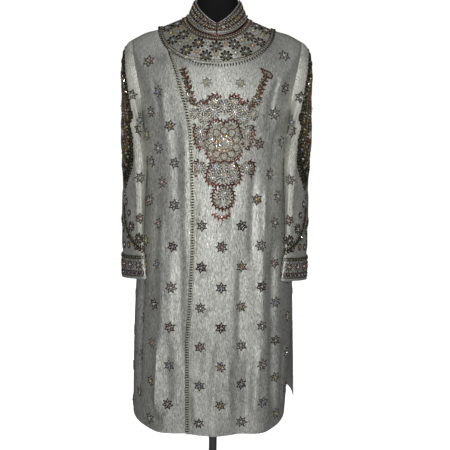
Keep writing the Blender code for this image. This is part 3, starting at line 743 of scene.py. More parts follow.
panels["collar"] = collarCloth()
pieces["collar"] = shell("collar_silk", panels["collar"], coat["collarCloth"], [ivory, inner])
top, out = panels["collar"].points[0], panels["collar"].normals[0]
above = unit(np.cross(np.gradient(top, axis=0), out))
above *= np.sign(above[:, 2:])
raised = above * (collar["piping"] + 2 * coat["seamGap"])
topPath = top - out * coat["collarCloth"] / 2 + raised
pieces["collar_piping"] = tube("collar_piping_cord", topPath, collar["piping"], ivory)
foot, out = panels["collar"].points[-1], panels["collar"].normals[-1]
footPath = foot + out * (collar["cord"] + coat["lift"]) + (0, 0, collar["cord"])
pieces["neck_piping"] = tube("neck_piping_cord", footPath, collar["cord"], ivory)
print("collar raised")


# dress form and stand
form = dict(
    inset=[0.0050, 0.0070, 0.0085, 0.0090, 0.0110, 0.0110, 0.0100, 0.0180, 0.0200],
    neckInset=0.0072, neckTop=1.572, rounding=0.008, crown=0.12, neckRows=(1.0, 0.68, 0.34),
    columns=96, rows=60, yokeRows=6, capRows=6,
)


def formCloth():
    upper = np.linspace(0, yoke, form["yokeRows"])[:-1]
    rows = np.concatenate([upper, np.linspace(yoke, hip, form["rows"])])
    angles = np.linspace(-pi / 2, 3 * pi / 2, form["columns"] + 1)
    middle = form["columns"] // 2 + 1  # the front's columns come first
    points = np.concatenate([
        ringPoints(ringsAt(rows), np.broadcast_to(part, (len(rows), len(part))), side)
        for side, part in (("front", angles[:middle]), ("back", angles[middle:]))
    ], axis=1)
    points[:, -1] = points[:, 0]
    cloth = Cloth(points, points[..., 0], points[..., 2], closed=True)
    inset = smoothRows(np.array(form["inset"])[:, None], rows)
    body = cloth.points - cloth.normals * inset[:, None]
    body[-1, :, 2] = coatRings[int(hip)][4]
    heights = form["neckRows"]
    neck = collarPoints(heights, np.broadcast_to(angles, (len(heights), len(angles))))
    neck -= Cloth(neck, neck[..., 0], neck[..., 2], closed=True).normals * form["neckInset"]
    centre = neck[0].mean(axis=0)
    caps = []
    for angle in np.linspace(pi / 2, 0, form["capRows"]):
        shrink = 1 - form["crown"] * sin(angle) ** 2
        ringTop = centre + (neck[0] - centre) * (shrink, shrink, 0)
        ringTop[:, 2] = form["neckTop"] - form["rounding"] * (1 - sin(angle))
        caps.append(ringTop)
    return np.concatenate([np.array(caps), neck, body])


def buildForm():
    grid = formCloth()[:, :-1]
    index = np.arange(grid.shape[0] * grid.shape[1]).reshape(grid.shape[:2])
    faces = [tuple(q) for q in quadsOf(closedUp(index))]
    faces += [tuple(index[0]), tuple(index[-1][::-1])]
    return makeMesh("form_jersey", grid.reshape(-1, 3), faces, [jersey])


pieces["form_torso"] = buildForm()
for node in ("stand_base", "stand_flange", "stand_fitting", "stand_pole"):
    bpy.data.objects[node].data.materials.clear()
    bpy.data.objects[node].data.materials.append(steel)
print("form and stand ready")


# embroidery, in millimetres: each bead, petal and stone is one entry, sewn on at the end
tones = dict(
    ink=(0.018, 0.015, 0.011), dark=(0.045, 0.036, 0.028), bronze=(0.22, 0.175, 0.115),
    olive=(0.22, 0.20, 0.10), oldGold=(0.42, 0.36, 0.17), paleGold=(0.62, 0.58, 0.42),
    silver=(0.60, 0.60, 0.57), pearl=(0.84, 0.83, 0.77), slate=(0.13, 0.135, 0.115),
    pewter=(0.30, 0.29, 0.26), taupe=(0.24, 0.20, 0.165), umber=(0.095, 0.050, 0.030),
    maroon=(0.075, 0.012, 0.016), redBrown=(0.22, 0.060, 0.042), copper=(0.38, 0.17, 0.09),
    clear=(0.88, 0.90, 0.93), amber=(0.95, 0.42, 0.06), yellow=(0.95, 0.78, 0.12),
    pink=(0.95, 0.50, 0.60), blue=(0.45, 0.58, 1.0), lilac=(0.74, 0.71, 0.98),
)
sparkle = "clear lilac clear pink blue clear amber yellow"
stitches = {}
seed = np.random.default_rng(7)


def pick(names, k):
    names = names.split()
    return names[k % len(names)]


def evenly(first, last, count):
    return [first + (last - first) * (k + 0.5) / count for k in range(count)]


def alongPath(path, pitch):
    # even steps along a smooth curve through the path's points, and the way it goes at each
    fine = smoothRows(path, np.linspace(0, len(path) - 1, 24 * len(path)))
    run = distances(fine)
    marks = np.linspace(0, run[-1], max(2, int(run[-1] / pitch) + 1))
    x, y = np.interp(marks, run, fine[:, 0]), np.interp(marks, run, fine[:, 1])
    return list(zip(x, y, np.arctan2(np.gradient(y), np.gradient(x))))


class Needle:
    # sews round a place on a cloth; x is to the right and y up
    def __init__(self, zone, cloth, u, v, turn=0.0, scale=1.0, measure="cloth", lift=0.0):
        self.work = stitches.setdefault((zone, cloth, measure), [])
        self.u, self.v, self.turn, self.scale, self.lift = u, v, radians(turn), scale, lift

    def sew(self, kind, x, y, way, size, tone):
        # a size is length, width and height, or width and height, or one number for all
        size = size if isinstance(size, tuple) else (size, size)
        size = size if len(size) == 3 else (size[0], *size)
        c, s = cos(self.turn) * self.scale, sin(self.turn) * self.scale
        place = (self.u, self.v, x * c - y * s, x * s + y * c, way + self.turn)
        self.work.append((kind, *place, *(self.scale * n for n in size), *tones[tone], self.lift))

    def grown(self, radius):
        # the same place, measured in the radius of a flower
        other = copy(self)
        other.scale *= radius
        return other

    def ring(self, kind, count, radius, size, tone, start=0.0, way=0.0):
        # way 0 points each piece outwards, a quarter turn lays it along the ring
        for k in range(count):
            a = radians(start) + 2 * pi * k / count
            self.sew(kind, radius * cos(a), radius * sin(a), a + radians(way), size, pick(tone, k))

    def run(self, kind, path, pitch, size, tone, side=0.0, swing=0.0):
        # pieces along a path, offset to its side, alternating by swing degrees
        for k, (x, y, a) in enumerate(alongPath(path, pitch)):
            flip = 1 if k % 2 else -1
            off = side * (flip if swing else 1)
            x, y = x - sin(a) * off, y + cos(a) * off
            self.sew(kind, x, y, a + radians(swing * flip), size, pick(tone, k))


def starFlower(needle, radius, petals, tone, tip, heart, lights="silver"):
    # broad pointed petals with dark rims and points, light beads on them and a stone heart
    flower, wide, between = needle.grown(radius), 6 / petals, 90 + 180.0 / petals
    flower.ring("petal", petals, 0.50, (0.76, 0.70 * wide, 0.10), tone, 90)
    flower.ring("petal", petals, 0.85, (0.34, 0.26, 0.14), tip, 90)
    flower.ring("petal", petals, 0.52, (0.50, 0.36 * wide, 0.17), lights, 90)
    flower.ring("bead", petals, 0.56, 0.13, tip, between)
    flower.ring("bead", petals, 0.30, 0.12, "pearl", between)
    flower.sew("stone", 0, 0, 0, (0.40, 0.24), heart)


def floret(needle, radius, tone, heart, count=9):
    flower = needle.grown(radius)
    flower.ring("bead", count, 0.76, (0.46, 0.34), tone)
    flower.sew("stone", 0, 0, 0.2, (1.0, 0.45), heart)


def jewelFlower(needle, radius, tone, heart):
    # six broad silver and pale gold petals with stones on them, in a dark jagged outline
    flower = needle.grown(radius)
    flower.ring("petal", 12, 1.06, (0.48, 0.30, 0.16), tone, 90, 25)
    flower.ring("petal", 6, 0.48, (0.92, 0.86, 0.14), "pearl silver paleGold", 90)
    flower.ring("bead", 6, 0.84, 0.22, "umber oldGold", 120)
    for k in range(6):
        a, gem = radians(90 + 60 * k), pick("clear yellow clear pink lilac", k)
        flower.sew("stone", 0.62 * cos(a), 0.62 * sin(a), 0, (0.30, 0.26), gem)
    flower.ring("bead", 8, 0.34, 0.16, "oldGold umber")
    flower.sew("stone", 0, 0, 0.0, (0.54, 0.34), heart)


def jaggedLeaf(needle, path, tone, reach=9.2, pitch=4.6):
    # a thick corded stem with fat pointed leaves on both sides
    needle.run("bugle", path, 2.8, (3.6, 2.6), tone)
    needle.run("petal", path, pitch, (reach, reach * 0.50, 1.8), tone, reach * 0.46, 52)


# small flowers scattered over the coat, and in half-drop rows from the waist down
buti = dict(radius=16.4, pitchDown=110, lowest=385, flareFrom=1000, flare=0.00024)
butis = {  # across and height, or distance down on a sleeve, and the first one's colours
    "front_left": (0, [
        (214, 1382), (199, 1300), (160, 1235), (116, 1159), (194, 1162), (155, 1078),
        (228, 1079), (114, 1014), (187, 1015),
    ]),
    "front_right": (3, [
        (-204, 1363), (-157, 1287), (-182, 1235), (-119, 1202), (-209, 1175), (-157, 1142),
        (-186, 1104), (-108, 1106), (-146, 1053), (-194, 1000), (-240, 1060),
    ]),
    "back": (1, [
        (-205, 1330), (-150, 1285), (-90, 1320), (-30, 1280), (30, 1325), (90, 1280),
        (150, 1320), (205, 1275), (-180, 1210), (-120, 1230), (-60, 1205), (0, 1235),
        (60, 1210), (120, 1235), (180, 1205), (-158, 1372), (-62, 1368), (60, 1372), (156, 1366),
    ]),
}
butiColumns = {  # the height of the first flower and the columns, at the waist
    "front_left": (946, [-31, 20, 73, 124, 172, 222]),
    "front_right": (996, [-108, -157, -208, -258]),
    "back": (1150, range(-260, 261, 52)),
}
sleeveButis = [
    (96, 95), (102, 246), (83, 378), (75, 492), (128, 160), (134, 330), (130, 450), (-100, 110),
    (-98, 255), (-82, 385), (-74, 495), (-130, 180), (-134, 330), (160, 240), (158, 400),
]


def scatter(cloth, u, v, index):
    needle = Needle("butis", cloth, u, v, turn=float(seed.uniform(-14, 14)))
    radius = buti["radius"] * float(seed.uniform(0.96, 1.06))
    body, heart = pick("taupe umber taupe bronze", index), pick(sparkle, index)
    starFlower(needle, radius, 6 + index % 3 // 2, body, "dark", heart, "silver pewter silver")
    for k in range(2):
        a = radians(30 + 180 * k + 60 * index)
        gem = pick(sparkle, index * 3 + k)
        needle.sew("stone", 7.8 * cos(a), 7.8 * sin(a), a, (3.0, 2.2), gem)


def halfDrop(cloth, first, columns):
    # columns fan out below the waist as the skirt widens
    index = 0
    for k, column in enumerate(columns):
        height = first - buti["pitchDown"] / 2 * (k % 2)
        while height > buti["lowest"]:
            fan = 1 + buti["flare"] * max(0.0, buti["flareFrom"] - height)
            scatter(cloth, column * fan, height, index + 5 * k)
            height -= buti["pitchDown"]
            index += 1


for cloth, (first, places) in butis.items():
    for k, (u, v) in enumerate(places):
        scatter(cloth, u, v, k + first)
for cloth, (first, columns) in butiColumns.items():
    halfDrop(cloth, first, columns)
for u in (-22, 62):
    needle = Needle("butis", "front_left", u, 1310)
    starFlower(needle, 14.5, 7, "silver", "paleGold", "yellow")
for cloth in ("sleeve_left", "sleeve_right"):
    for k, (u, v) in enumerate(sleeveButis):
        scatter(cloth, u, v, k)
print("small flowers sewn")

# closing braid and yoke braid, on thin silk ribbons
edging = dict(pitch=7.2, yokePitch=7.3, start=1.08, yokeShare=0.965, rightOf=-134)
ribbon = dict(lift=0.6, thick=0.8, closing=(0.6, 11.2), yoke=(0.90, 0.985))
onRibbon = ribbon["lift"] * 2 + ribbon["thick"]


def closingBraid():
    run = -panels["front_left"].sides["edge"][1][:, 0] * 1000
    start = float(np.interp(edging["start"], stations, run))
    pitch = edging["pitch"]
    for k in range(int((run[-1] - 4 - start) / pitch)):
        v = -(start + pitch * (k + 0.5))
        needle = Needle("closing braid", "front_left", 0.0, v, measure="edge", lift=onRibbon)
        for y in (-pitch / 4, pitch / 4):
            needle.sew("bugle", 1.0, y, radians(62), (3.2, 1.5, 1.3), "olive")
            needle.sew("bugle", 11.2, y, radians(-62), (3.0, 1.3, 1.1), "oldGold")
        needle.sew("petal", 5.8, 0, 0.12, (9.8, 4.4, 2.8), "ink")
        needle.sew("bead", 3.4, 0.4, 0, (2.8, 2.6, 3.0), "dark")
        needle.sew("bead", 8.2, 0, 0, (2.2, 2.0, 3.0), pick("bronze oldGold", k))
        for x in (4.0, 8.2):
            needle.sew("bead", x, pitch / 2, 0, (2.0, 1.8, 1.4), "paleGold")


def yokeEnds(cloth):
    wide = panels[cloth].sides["yoke"][0][6] * 1000
    return float(wide[0]), float(wide[-1])


def yokeBraid():
    pitch = edging["yokePitch"]
    for cloth in ("front_left", "back"):
        first, last = yokeEnds(cloth)
        for k, u in enumerate(evenly(first, last, int(round((last - first) / pitch)))):
            v = -yokeDepth * 1000 * edging["yokeShare"]
            needle = Needle("yoke braid", cloth, u, v, measure="yoke", lift=onRibbon)
            for n in range(3):
                x = pitch * (n / 3 - 0.333)
                gold, bead = pick("oldGold ink olive", n), pick("olive paleGold bronze", n)
                needle.sew("bugle", x, 4.6, radians(35), (2.6, 1.8, 1.6), gold)
                needle.sew("bead", x, 1.4, 0, (2.4, 3.0, 1.8), bead)
            if cloth == "front_left" and u < edging["rightOf"]:  # these drops hang past its edge
                high = onRibbon + 1000 * (coat["cloth"] + coat["overlapGap"] / 2)
                needle = Needle("yoke braid", "front_right", u, v, measure="yoke", lift=high)
            drop = "maroon" if k % 5 == 2 else "ink"
            needle.sew("petal", 0, -3.6, radians(90), (7.6, 4.0, 2.4), drop)
            needle.sew("bead", 0, -6.8, 0, (3.0, 2.2), drop)


def ribbonPoints(cloth, across, down, measure):
    u, v = np.meshgrid(across, down)
    place, out = panels[cloth].frames(u.ravel(), v.ravel(), measure)[:2]
    return (place + out * ribbon["lift"] / 1000).reshape(*u.shape, 3), u, v


def ribbonShell(name, cloth):
    thick, lift = ribbon["thick"] / 1000, ribbon["lift"] / 1000
    pieces[name] = shell(name + "_ribbon", cloth, thick, [ivory, ivory], offset=lift)


def layRibbons():
    edge = panels["front_left"].sides["edge"][1][stations >= edging["start"] - 0.04, 0]
    low, high = ribbon["closing"]
    grid = ribbonPoints("front_left", np.linspace(low, high, 6) / 1000, edge, "edge")
    ribbonShell("closing_braid", Cloth(*grid, rises=1))
    depths = -yokeDepth * np.linspace(*ribbon["yoke"], 6)
    halves = []
    for cloth in ("front_left", "back"):
        wide = panels[cloth].sides["yoke"][0][6]
        halves.append(ribbonPoints(cloth, np.linspace(wide[0], wide[-1], 120), depths, "yoke")[0])
    grid = closedUp(np.concatenate(halves, axis=1))
    along = np.broadcast_to(distances(grid[0]), grid.shape[:2])
    ribbonShell("yoke_braid", Cloth(grid, along, grid[..., 2], closed=True))


layRibbons()
closingBraid()
yokeBraid()

# yoke flowers between the collar and the braid
yokeRows = [(29, 7), (55, 8)]  # depth below the neckline, flowers in the front


def yokeFlower(needle, heart, turn):
    # eight broad petals of olive and grey with fat deep red points
    needle.ring("petal", 8, 7.0, (12.0, 7.8, 1.2), "slate olive", turn)
    needle.ring("petal", 8, 13.6, (8.2, 8.4, 2.0), "maroon ink", turn)
    needle.ring("petal", 8, 7.8, (5.6, 2.6, 2.4), "pewter slate", turn)
    needle.ring("bead", 8, 10.4, 2.4, "ink", turn + 22.5)
    needle.ring("bead", 8, 4.4, 2.4, "silver", turn + 22.5)
    needle.sew("stone", 0, 0, 0.4, (6.0, 3.4), heart)


def betweenFlower(needle, heart):
    # a small flower with a twig of gold beads on either side
    floret(needle, 6.8, "oldGold", heart)
    needle.ring("petal", 6, 8.2, (4.0, 2.6, 1.2), "olive", 30)
    for flip in (-1, 1):
        twig = [(6 * flip, 6), (12 * flip, 12), (20 * flip, 13)]
        needle.run("bead", twig, 2.6, 2.2, "oldGold olive")


def neckGem(needle, heart):
    # a length of red-brown cord with a gem below it
    cord = "redBrown redBrown maroon"
    needle.run("bugle", [(-5.0, 7.4), (5.0, 7.4)], 3.0, (3.8, 3.6, 3.6), cord)
    needle.ring("petal", 6, 3.6, (5.6, 4.4, 1.4), "olive ink bronze", 0)
    needle.ring("bead", 6, 5.0, 2.4, "oldGold maroon", 30)
    needle.sew("stone", 0, 0, 0, (3.8, 2.2), heart)
    for x in (-4.5, 0.0, 4.5):
        needle.sew("bead", x, -6.4, 0, (3.0, 2.6, 2.2), "maroon")


def yokeFlowers():
    for cloth, spare in (("front_left", 1.0), ("back", 0.84)):
        first, last = yokeEnds(cloth)
        for row, (depth, count) in enumerate(yokeRows):
            step = (last - first) / count / 2
            high = -depth + (5 if row else 3)
            for k, u in enumerate(evenly(first, last, count)):
                needle = Needle("yoke flowers", cloth, u, -depth, 0, spare, "yoke")
                yokeFlower(needle, pick(sparkle, k * 3 + row), 90 + 11 * (k % 3))
                if k + 1 < count:
                    side = Needle("yoke flowers", cloth, u + step, high, 0, spare, "yoke")
                    betweenFlower(side, pick("amber yellow clear", k + row))
        for k, u in enumerate(evenly(first, last, int((last - first) / 12.5))):
            needle = Needle("yoke flowers", cloth, u, -8.5, measure="yoke")
            neckGem(needle, pick(sparkle, k * 3))


yokeFlowers()


# collar: three close rows of gems between red-brown cords
def collarWork():
    reach, tall = 1000 * float(panels["collar"].sides["band"][0][0, -1]), 1000 * collar["tall"]
    count = int(2 * reach / 11.8)

    def needleAt(u, share, scale=1.0):
        return Needle("collar work", "collar", u, share * tall, scale=scale, measure="band")

    for k, u in enumerate(evenly(-reach, reach, count)):
        for row, share in enumerate((0.20, 0.50, 0.79)):
            shift = 5.9 * (row % 2) if 0 < k < count - 1 else 0.0
            needle = needleAt(u + shift, share, 0.92)
            ground = "dark olive" if (k + row) % 2 else "dark umber"
            needle.ring("petal", 6, 4.4, (7.4, 6.4, 1.4), ground, 30)
            needle.ring("bead", 6, 6.4, 2.6, "oldGold ink redBrown", 0)
            needle.ring("bead", 6, 3.6, 2.4, "paleGold bronze", 30)
            needle.sew("stone", 0, 0, 0, (4.8, 2.6), pick(sparkle, k * 5 + row * 3))
        for share in (0.05, 0.35, 0.645, 0.925):
            cord = "redBrown umber" if share < 0.9 else "paleGold"
            needleAt(u, share).run("bugle", [(-6, 0), (6, 0)], 3.0, (3.4, 2.2, 1.9), cord)
    for end in (-1, 1):
        for share in evenly(0, 1, 14):
            needle = needleAt(end * (reach - 1.6), share)
            needle.sew("bugle", 0, 0, radians(90), (3.2, 2.6, 2.0), "silver")


collarWork()
print("braids, yoke and collar sewn")


# jewelled pendant on the chest: a round boss, flowers round it and drops below
pendant = dict(across=23, height=1160)
pendantFlowers = [  # x and y from the boss, radius; each is repeated on the other side
    (0, 92, 13.5), (26, 79, 12.5), (24, 104, 11.0), (52, 88, 13.0), (48, 62, 11.5),
    (74, 74, 10.5), (60, 30, 12.0), (58, 0, 10.5), (61, -62, 12.5), (19, -60, 13.5),
    (0, -82, 13.0), (28, -88, 11.0), (0, -130, 13.5), (14, -152, 8.5),
]
pendantLeaves = [  # corded leaf stems, mirrored to the other side
    [(0, 52), (20, 60), (34, 52), (40, 34), (46, 16)],
    [(12, 114), (24, 120), (38, 114), (44, 100), (60, 106)],
    [(44, -16), (40, -34), (28, -44), (12, -47), (0, -44)],
    [(72, 46), (77, 30), (74, 14), (70, -4), (60, -16)],
    [(34, -52), (42, -72), (44, -90), (36, -104), (18, -106), (0, -110)],
    [(18, -114), (26, -126), (27, -144), (20, -162), (0, -170)],
    [(66, -46), (78, -50), (80, -70), (72, -86)],
]


bossRings = [  # kind, count, radius, size and tones, from the middle out
    ("petal", 12, 7.0, (9.0, 3.4, 2.8), "taupe bronze"), ("bead", 12, 7.8, 3.0, "silver"),
    ("stone", 11, 11.8, (4.8, 3.4), "clear pink yellow"),
    ("bead", 26, 15.8, 3.0, "bronze oldGold paleGold"),
    ("stone", 20, 20.0, (5.4, 3.6), "yellow amber pink clear"),
    ("bead", 34, 24.5, 3.2, "umber oldGold pearl"),
]


def onChest(x, y, turn=0.0):
    return Needle("pendant", "front_left", pendant["across"] + x, pendant["height"] + y, turn)


def pendantBoss():
    # a close ground of small beads in rings, then the stones and cords on it
    boss = onChest(0, 0)
    for n in range(15):
        radius = 4.0 + 2.8 * n
        ground = ["paleGold pearl pearl", "pearl paleGold silver", "pearl oldGold pearl"][n % 3]
        boss.ring("bead", int(2.1 * pi * radius / 3.4), radius, (4.2, 1.8), ground, 17 * n)
    boss.sew("stone", 0, 0, 0, (10.5, 5.0), "clear")
    for row in bossRings:
        boss.ring(*row)
    for k in range(10):
        a = 2 * pi * k / 10 + pi / 10
        scallop = onChest(33 * cos(a), 33 * sin(a))
        scallop.ring("bugle", 12, 9.4, (4.6, 2.4, 2.8), "umber bronze", 0, 90)
        scallop.ring("petal", 6, 4.2, (6.6, 5.2, 2.6), "paleGold pearl")
        scallop.sew("stone", 0, 0, a, (5.0, 4.0), pick(sparkle, k))
        b = a + pi / 10
        leaf = onChest(43 * cos(b), 43 * sin(b))
        for swing in (b - 0.6, b, b + 0.6):
            x, y = 3.2 * cos(swing), 3.2 * sin(swing)
            leaf.sew("petal", x, y, swing, (9.8, 4.6, 1.6), pick("umber redBrown", k))


def pendantGround():
    # gold and silver sequins fill the ground between the flowers
    for row in range(-46, 36):
        for k in range(-24, 25):
            x, y = 3.6 * (k + 0.5 * (row % 2)), 3.1 * row
            far = np.hypot(x, y)
            near = min(np.hypot(abs(x) - fx, y - fy) - r for fx, fy, r in pendantFlowers)
            between = 1 < near < 5 and (k * 3 + row) % 4
            if far < 44 or not (between or far < 53):
                continue
            tone = pick("pearl paleGold silver pearl umber oldGold", k * 5 + row)
            high = 2.6 if tone in ("paleGold", "pearl") else 1.6
            onChest(x, y).sew("bead", 0, 0, 0, (4.0, high), tone)


def chestPendant():
    pendantBoss()
    outlines = "redBrown umber", "umber bronze", "umber umber olive"
    for side in (1, -1):
        for k, (x, y, radius) in enumerate(pendantFlowers):
            if x or side > 0:
                heart = pick(sparkle, k * 3 + (side < 0))
                jewelFlower(onChest(side * x, y, 25 * k), radius, outlines[k % 3], heart)
        for path in pendantLeaves:
            middleX, middleY = path[len(path) // 2]
            local = [(side * (x - middleX), y - middleY) for x, y in path]
            needle = onChest(side * middleX, middleY)
            jaggedLeaf(needle, local, "umber redBrown maroon redBrown")
    pendantGround()
    drop = onChest(-4, -188)
    bow = [(-22, 6), (-10, -3), (0, -5), (10, -3), (22, 6)]
    jaggedLeaf(drop, bow, "redBrown copper")
    drop.run("bugle", [(0, -6), (2, -14), (-1, -24)], 3, (3.6, 2.0, 1.6), "redBrown")
    drop.sew("stone", 0, -2, 0, (5.0, 2.4), "pink")


# sprays that rise from the pendant, one up the closing edge and one to the left shoulder
sprays = [
    [(-52, 1255), (-66, 1275), (-70, 1300), (-78, 1322), (-86, 1343)],
    [(88, 1252), (106, 1268), (114, 1292), (124, 1312), (136, 1334)],
]
paisley = dict(length=17, width=9.5, curl=0.35, bead=3.0)


def paisleyTip(needle):
    # a small mango, round below, with its point curling over to one side
    length, width, bead = paisley["length"], paisley["width"], paisley["bead"]
    outline = []
    for t in np.linspace(0, 2 * pi, 29):
        y = length * cos(t)
        over = paisley["curl"] * width * 2 * ((y + length) / (2 * length)) ** 4
        outline.append((width * sin(t) * (0.5 - 0.5 * cos(t)) ** 0.45 + over, y))
    for n in range(3):
        share = 1 - n / 2.6
        path = [(x * share, y * share - length * 0.10 * (1 - share)) for x, y in outline]
        if n == 0:
            jaggedLeaf(needle, path, "redBrown umber", bead * 1.7, bead * 1.5)
        else:
            size = (bead, bead * 0.8, bead * 0.6)
            needle.run("bead", path, bead * 1.1, size, "oldGold pewter silver")


def chestSprays():
    for path in sprays:
        for k, (u, v) in enumerate(path):
            needle = Needle("pendant", "front_left", u, v, 40 * k)
            if k == 1:
                jewelFlower(needle, 12.5, "copper", "blue")
            elif k < 4:
                floret(needle, 5.0, "copper", pick("amber clear yellow", k), 8)
        for (u0, v0), (u1, v1) in zip(path, path[1:]):
            needle = Needle("pendant", "front_left", (u0 + u1) / 2, (v0 + v1) / 2)
            du, dv = (u1 - u0) / 2, (v1 - v0) / 2
            line = [(-du, -dv), (3, 0), (du, dv)]
            jaggedLeaf(needle, line, "umber redBrown bronze", 12.8)
            for side in (-3.6, 3.6):
                needle.run("bead", line, 3.4, 3.0, "oldGold paleGold dark", side)
    paisleyTip(Needle("pendant", "front_left", *sprays[1][-1], 62))


chestPendant()
chestSprays()
print("chest pendant sewn")

# sleeves: a long mango on the outer face, a flowering stem below it, and the cuffs
mangoOutline = [  # across and distance down; it covers the outer face
    (0, 30), (34, 46), (60, 85), (77, 150), (75, 230), (69, 300), (59, 342), (38, 378),
    (12, 408), (-6, 388), (-36, 348), (-62, 292), (-74, 220), (-76, 150), (-62, 85),
    (-36, 46), (0, 30),
]
mango = dict(middle=(-1, 205), rows=5, step=0.062, pitch=4.6, rim=4.6, lift=0.7)
mangoStem = [(4, 322), (-16, 300), (-26, 268), (-18, 236), (6, 216), (26, 190), (24, 160),
             (4, 144), (-16, 130), (-14, 106)]
mangoGems = [(14, 258, 13.5), (-18, 186, 13.5), (10, 112, 10.5)]
sleeveStems = [
    [(84, 584), (66, 576), (44, 560), (22, 538), (6, 512), (-4, 484), (-6, 458)],
    [(-84, 584), (-64, 572), (-46, 552), (-34, 526), (-34, 500)],
]
stemFlowers = [
    (66, 548, 15.0), (38, 516, 15.0), (30, 478, 10.5), (14, 448, 11.0), (16, 568, 10.5),
    (-20, 522, 13.0), (-66, 542, 14.0), (-54, 502, 13.0), (-16, 570, 10.5), (0, 428, 8.5),
    (50, 572, 10.0), (12, 540, 10.5), (-46, 574, 10.0),
]


def onSleeve(cloth, u, v, turn=0.0, lift=0.0):
    return Needle("sleeve work", cloth, u, v, turn, lift=lift)


def mangoLine(share, pitch):
    u0, v0 = mango["middle"]
    line = [(u0 + (u - u0) * share, v0 + (v - v0) * share) for u, v in mangoOutline]
    return alongPath(line, pitch)


def mangoRows(rows, places, pitchX, pitchY):
    # half-drop places round the mango's middle, with their share of the way to its rim
    u0, v0 = mango["middle"]
    rim = np.array([(u - u0, v - v0) for u, v in mangoOutline])
    turn, far = np.arctan2(rim[:, 1], rim[:, 0]), np.hypot(rim[:, 0], rim[:, 1])
    order = np.argsort(turn)
    for row in rows:
        for k in places:
            x, y = pitchX * (k + 0.5 * (row % 2)), pitchY * row
            edge = np.interp(np.arctan2(y, x), turn[order], far[order], period=2 * pi)
            yield row, k, x, y, np.hypot(x, y) / edge


def sleeveMango(cloth):
    u0, v0 = mango["middle"]
    for n in range(mango["rows"]):
        for k, (u, v, a) in enumerate(mangoLine(1 - n * mango["step"], mango["rim"])):
            needle = onSleeve(cloth, u, v)
            if n == 0:
                swing = 0.9 if k % 2 else 2.2
                size = (12.0, 5.8, 1.6) if k // 6 % 2 else (9.0, 5.0, 1.6)
                needle.sew("petal", 0, 0, -a + swing, size, pick("ink dark bronze", k))
            elif n % 2:
                needle.sew("bead", 0, 0, -a, (4.4, 3.6, 2.8), pick("oldGold ink olive dark", k))
            else:
                needle.sew("petal", 0, 0, -a + 0.5, (8.0, 4.8, 1.6), pick("dark slate ink", k))
    # a dark ground of flat sequins under the whole mango, and curling rows on it
    for row, k, x, y, share in mangoRows(range(-31, 36), range(-13, 14), 6.6, 5.7):
        if share < 0.97:
            tone = pick("ink ink dark", k + row)
            onSleeve(cloth, u0 + x, v0 + y).sew("petal", 0, 0, 0.7 * row, (10.0, 8.8, 0.7), tone)
    pitch = mango["pitch"]
    for row, k, x, y, share in mangoRows(range(-40, 45), range(-18, 19), pitch, pitch * 0.87):
        if share > 0.72:
            continue
        needle = onSleeve(cloth, u0 + x, v0 + y)
        curl = 9 * share + (1 if x > 0 else -1)
        chosen = int(6 + 5 * sin(curl * 2.2 + y * 0.06) + (k * 5 + row * 3) % 4) % 6
        tone = pick("ink bronze oldGold slate olive dark", chosen)
        if (k * 7 + row * 3) % 13 == 0:
            needle.sew("stone", 0, 0, 0, (4.0, 3.0), pick(sparkle, k + row))
        elif chosen in (2, 4):
            needle.sew("bead", 0, 0, 0, (3.6, 3.0), tone)
        elif chosen != 0:
            needle.sew("petal", 0, 0, curl, (6.6, 3.6, 2.0), tone)


def cordedStem(cloth, stem, cords, leaves, lift=0.0):
    # a thick stem of twisted cord with close leaves on both sides
    for k, (u, v, a) in enumerate(alongPath(stem, 3.6)):
        needle = onSleeve(cloth, u, v, lift=lift)
        first, *rest = cords.split()
        for x, tone in ((-1.4, first), (1.4, rest[k % 3])):
            needle.sew("bugle", x * sin(a), x * cos(a), -a + 0.5, (4.4, 2.2, 2.2), tone)
        flip = (-1, 1)[k % 2]
        x, y, way = 6 * sin(a) * flip, 6 * cos(a) * flip, -a + 0.9 * flip
        needle.sew("petal", x, y, way, (12.8, 5.6, 1.6), pick(leaves, k % 5))
        if k % 3 == 0:
            x, y = -5 * sin(a) * flip, -5 * cos(a) * flip
            needle.sew("bead", x, y, 0, (3.2, 2.6), pick("oldGold paleGold", k))


def mangoFilling(cloth):
    # two gold lines inside the dark ground, small flowers between, a curling stem and gems
    lift = mango["lift"]
    for share, pair in ((0.62, "oldGold olive"), (0.57, "umber redBrown")):
        for k, (u, v, a) in enumerate(mangoLine(share, 4.0)):
            onSleeve(cloth, u, v, lift=lift).sew("bead", 0, 0, -a, (4.4, 3.6, 3.4), pick(pair, k))
    for k, (u, v, a) in enumerate(mangoLine(0.78, 27)[:-1]):
        needle = onSleeve(cloth, u, v, lift=lift)
        floret(needle, 6.0, "olive", pick(sparkle, k), 8)
        needle.ring("petal", 6, 7.6, (4.4, 3.0, 1.2), "slate", 30)
    cords, leaves = "copper oldGold paleGold bronze", "oldGold bronze olive oldGold bronze"
    cordedStem(cloth, mangoStem, cords, leaves, lift)
    for k, (u, v, radius) in enumerate(mangoGems):
        needle = onSleeve(cloth, u, v, 20 * k, lift)
        jewelFlower(needle, radius, "redBrown copper", pick(sparkle, k))


def sleeveBranches(cloth):
    for stem in sleeveStems:
        cordedStem(cloth, stem, "umber bronze oldGold dark", "dark umber ink bronze dark")
    for k, (u, v, radius) in enumerate(stemFlowers):
        needle = onSleeve(cloth, u, v, 30 * k)
        needle.ring("petal", 9, radius * 0.84, (radius * 0.5, radius * 0.42, radius * 0.1), "ink")
        starFlower(needle, radius, 7, "umber", "dark", pick(sparkle, k + 2), "olive silver bronze")


cuffRows = [(3.5, "olive ink"), (11.0, "bronze dark"), (45.5, "umber redBrown"),
            (59.0, "umber redBrown")]


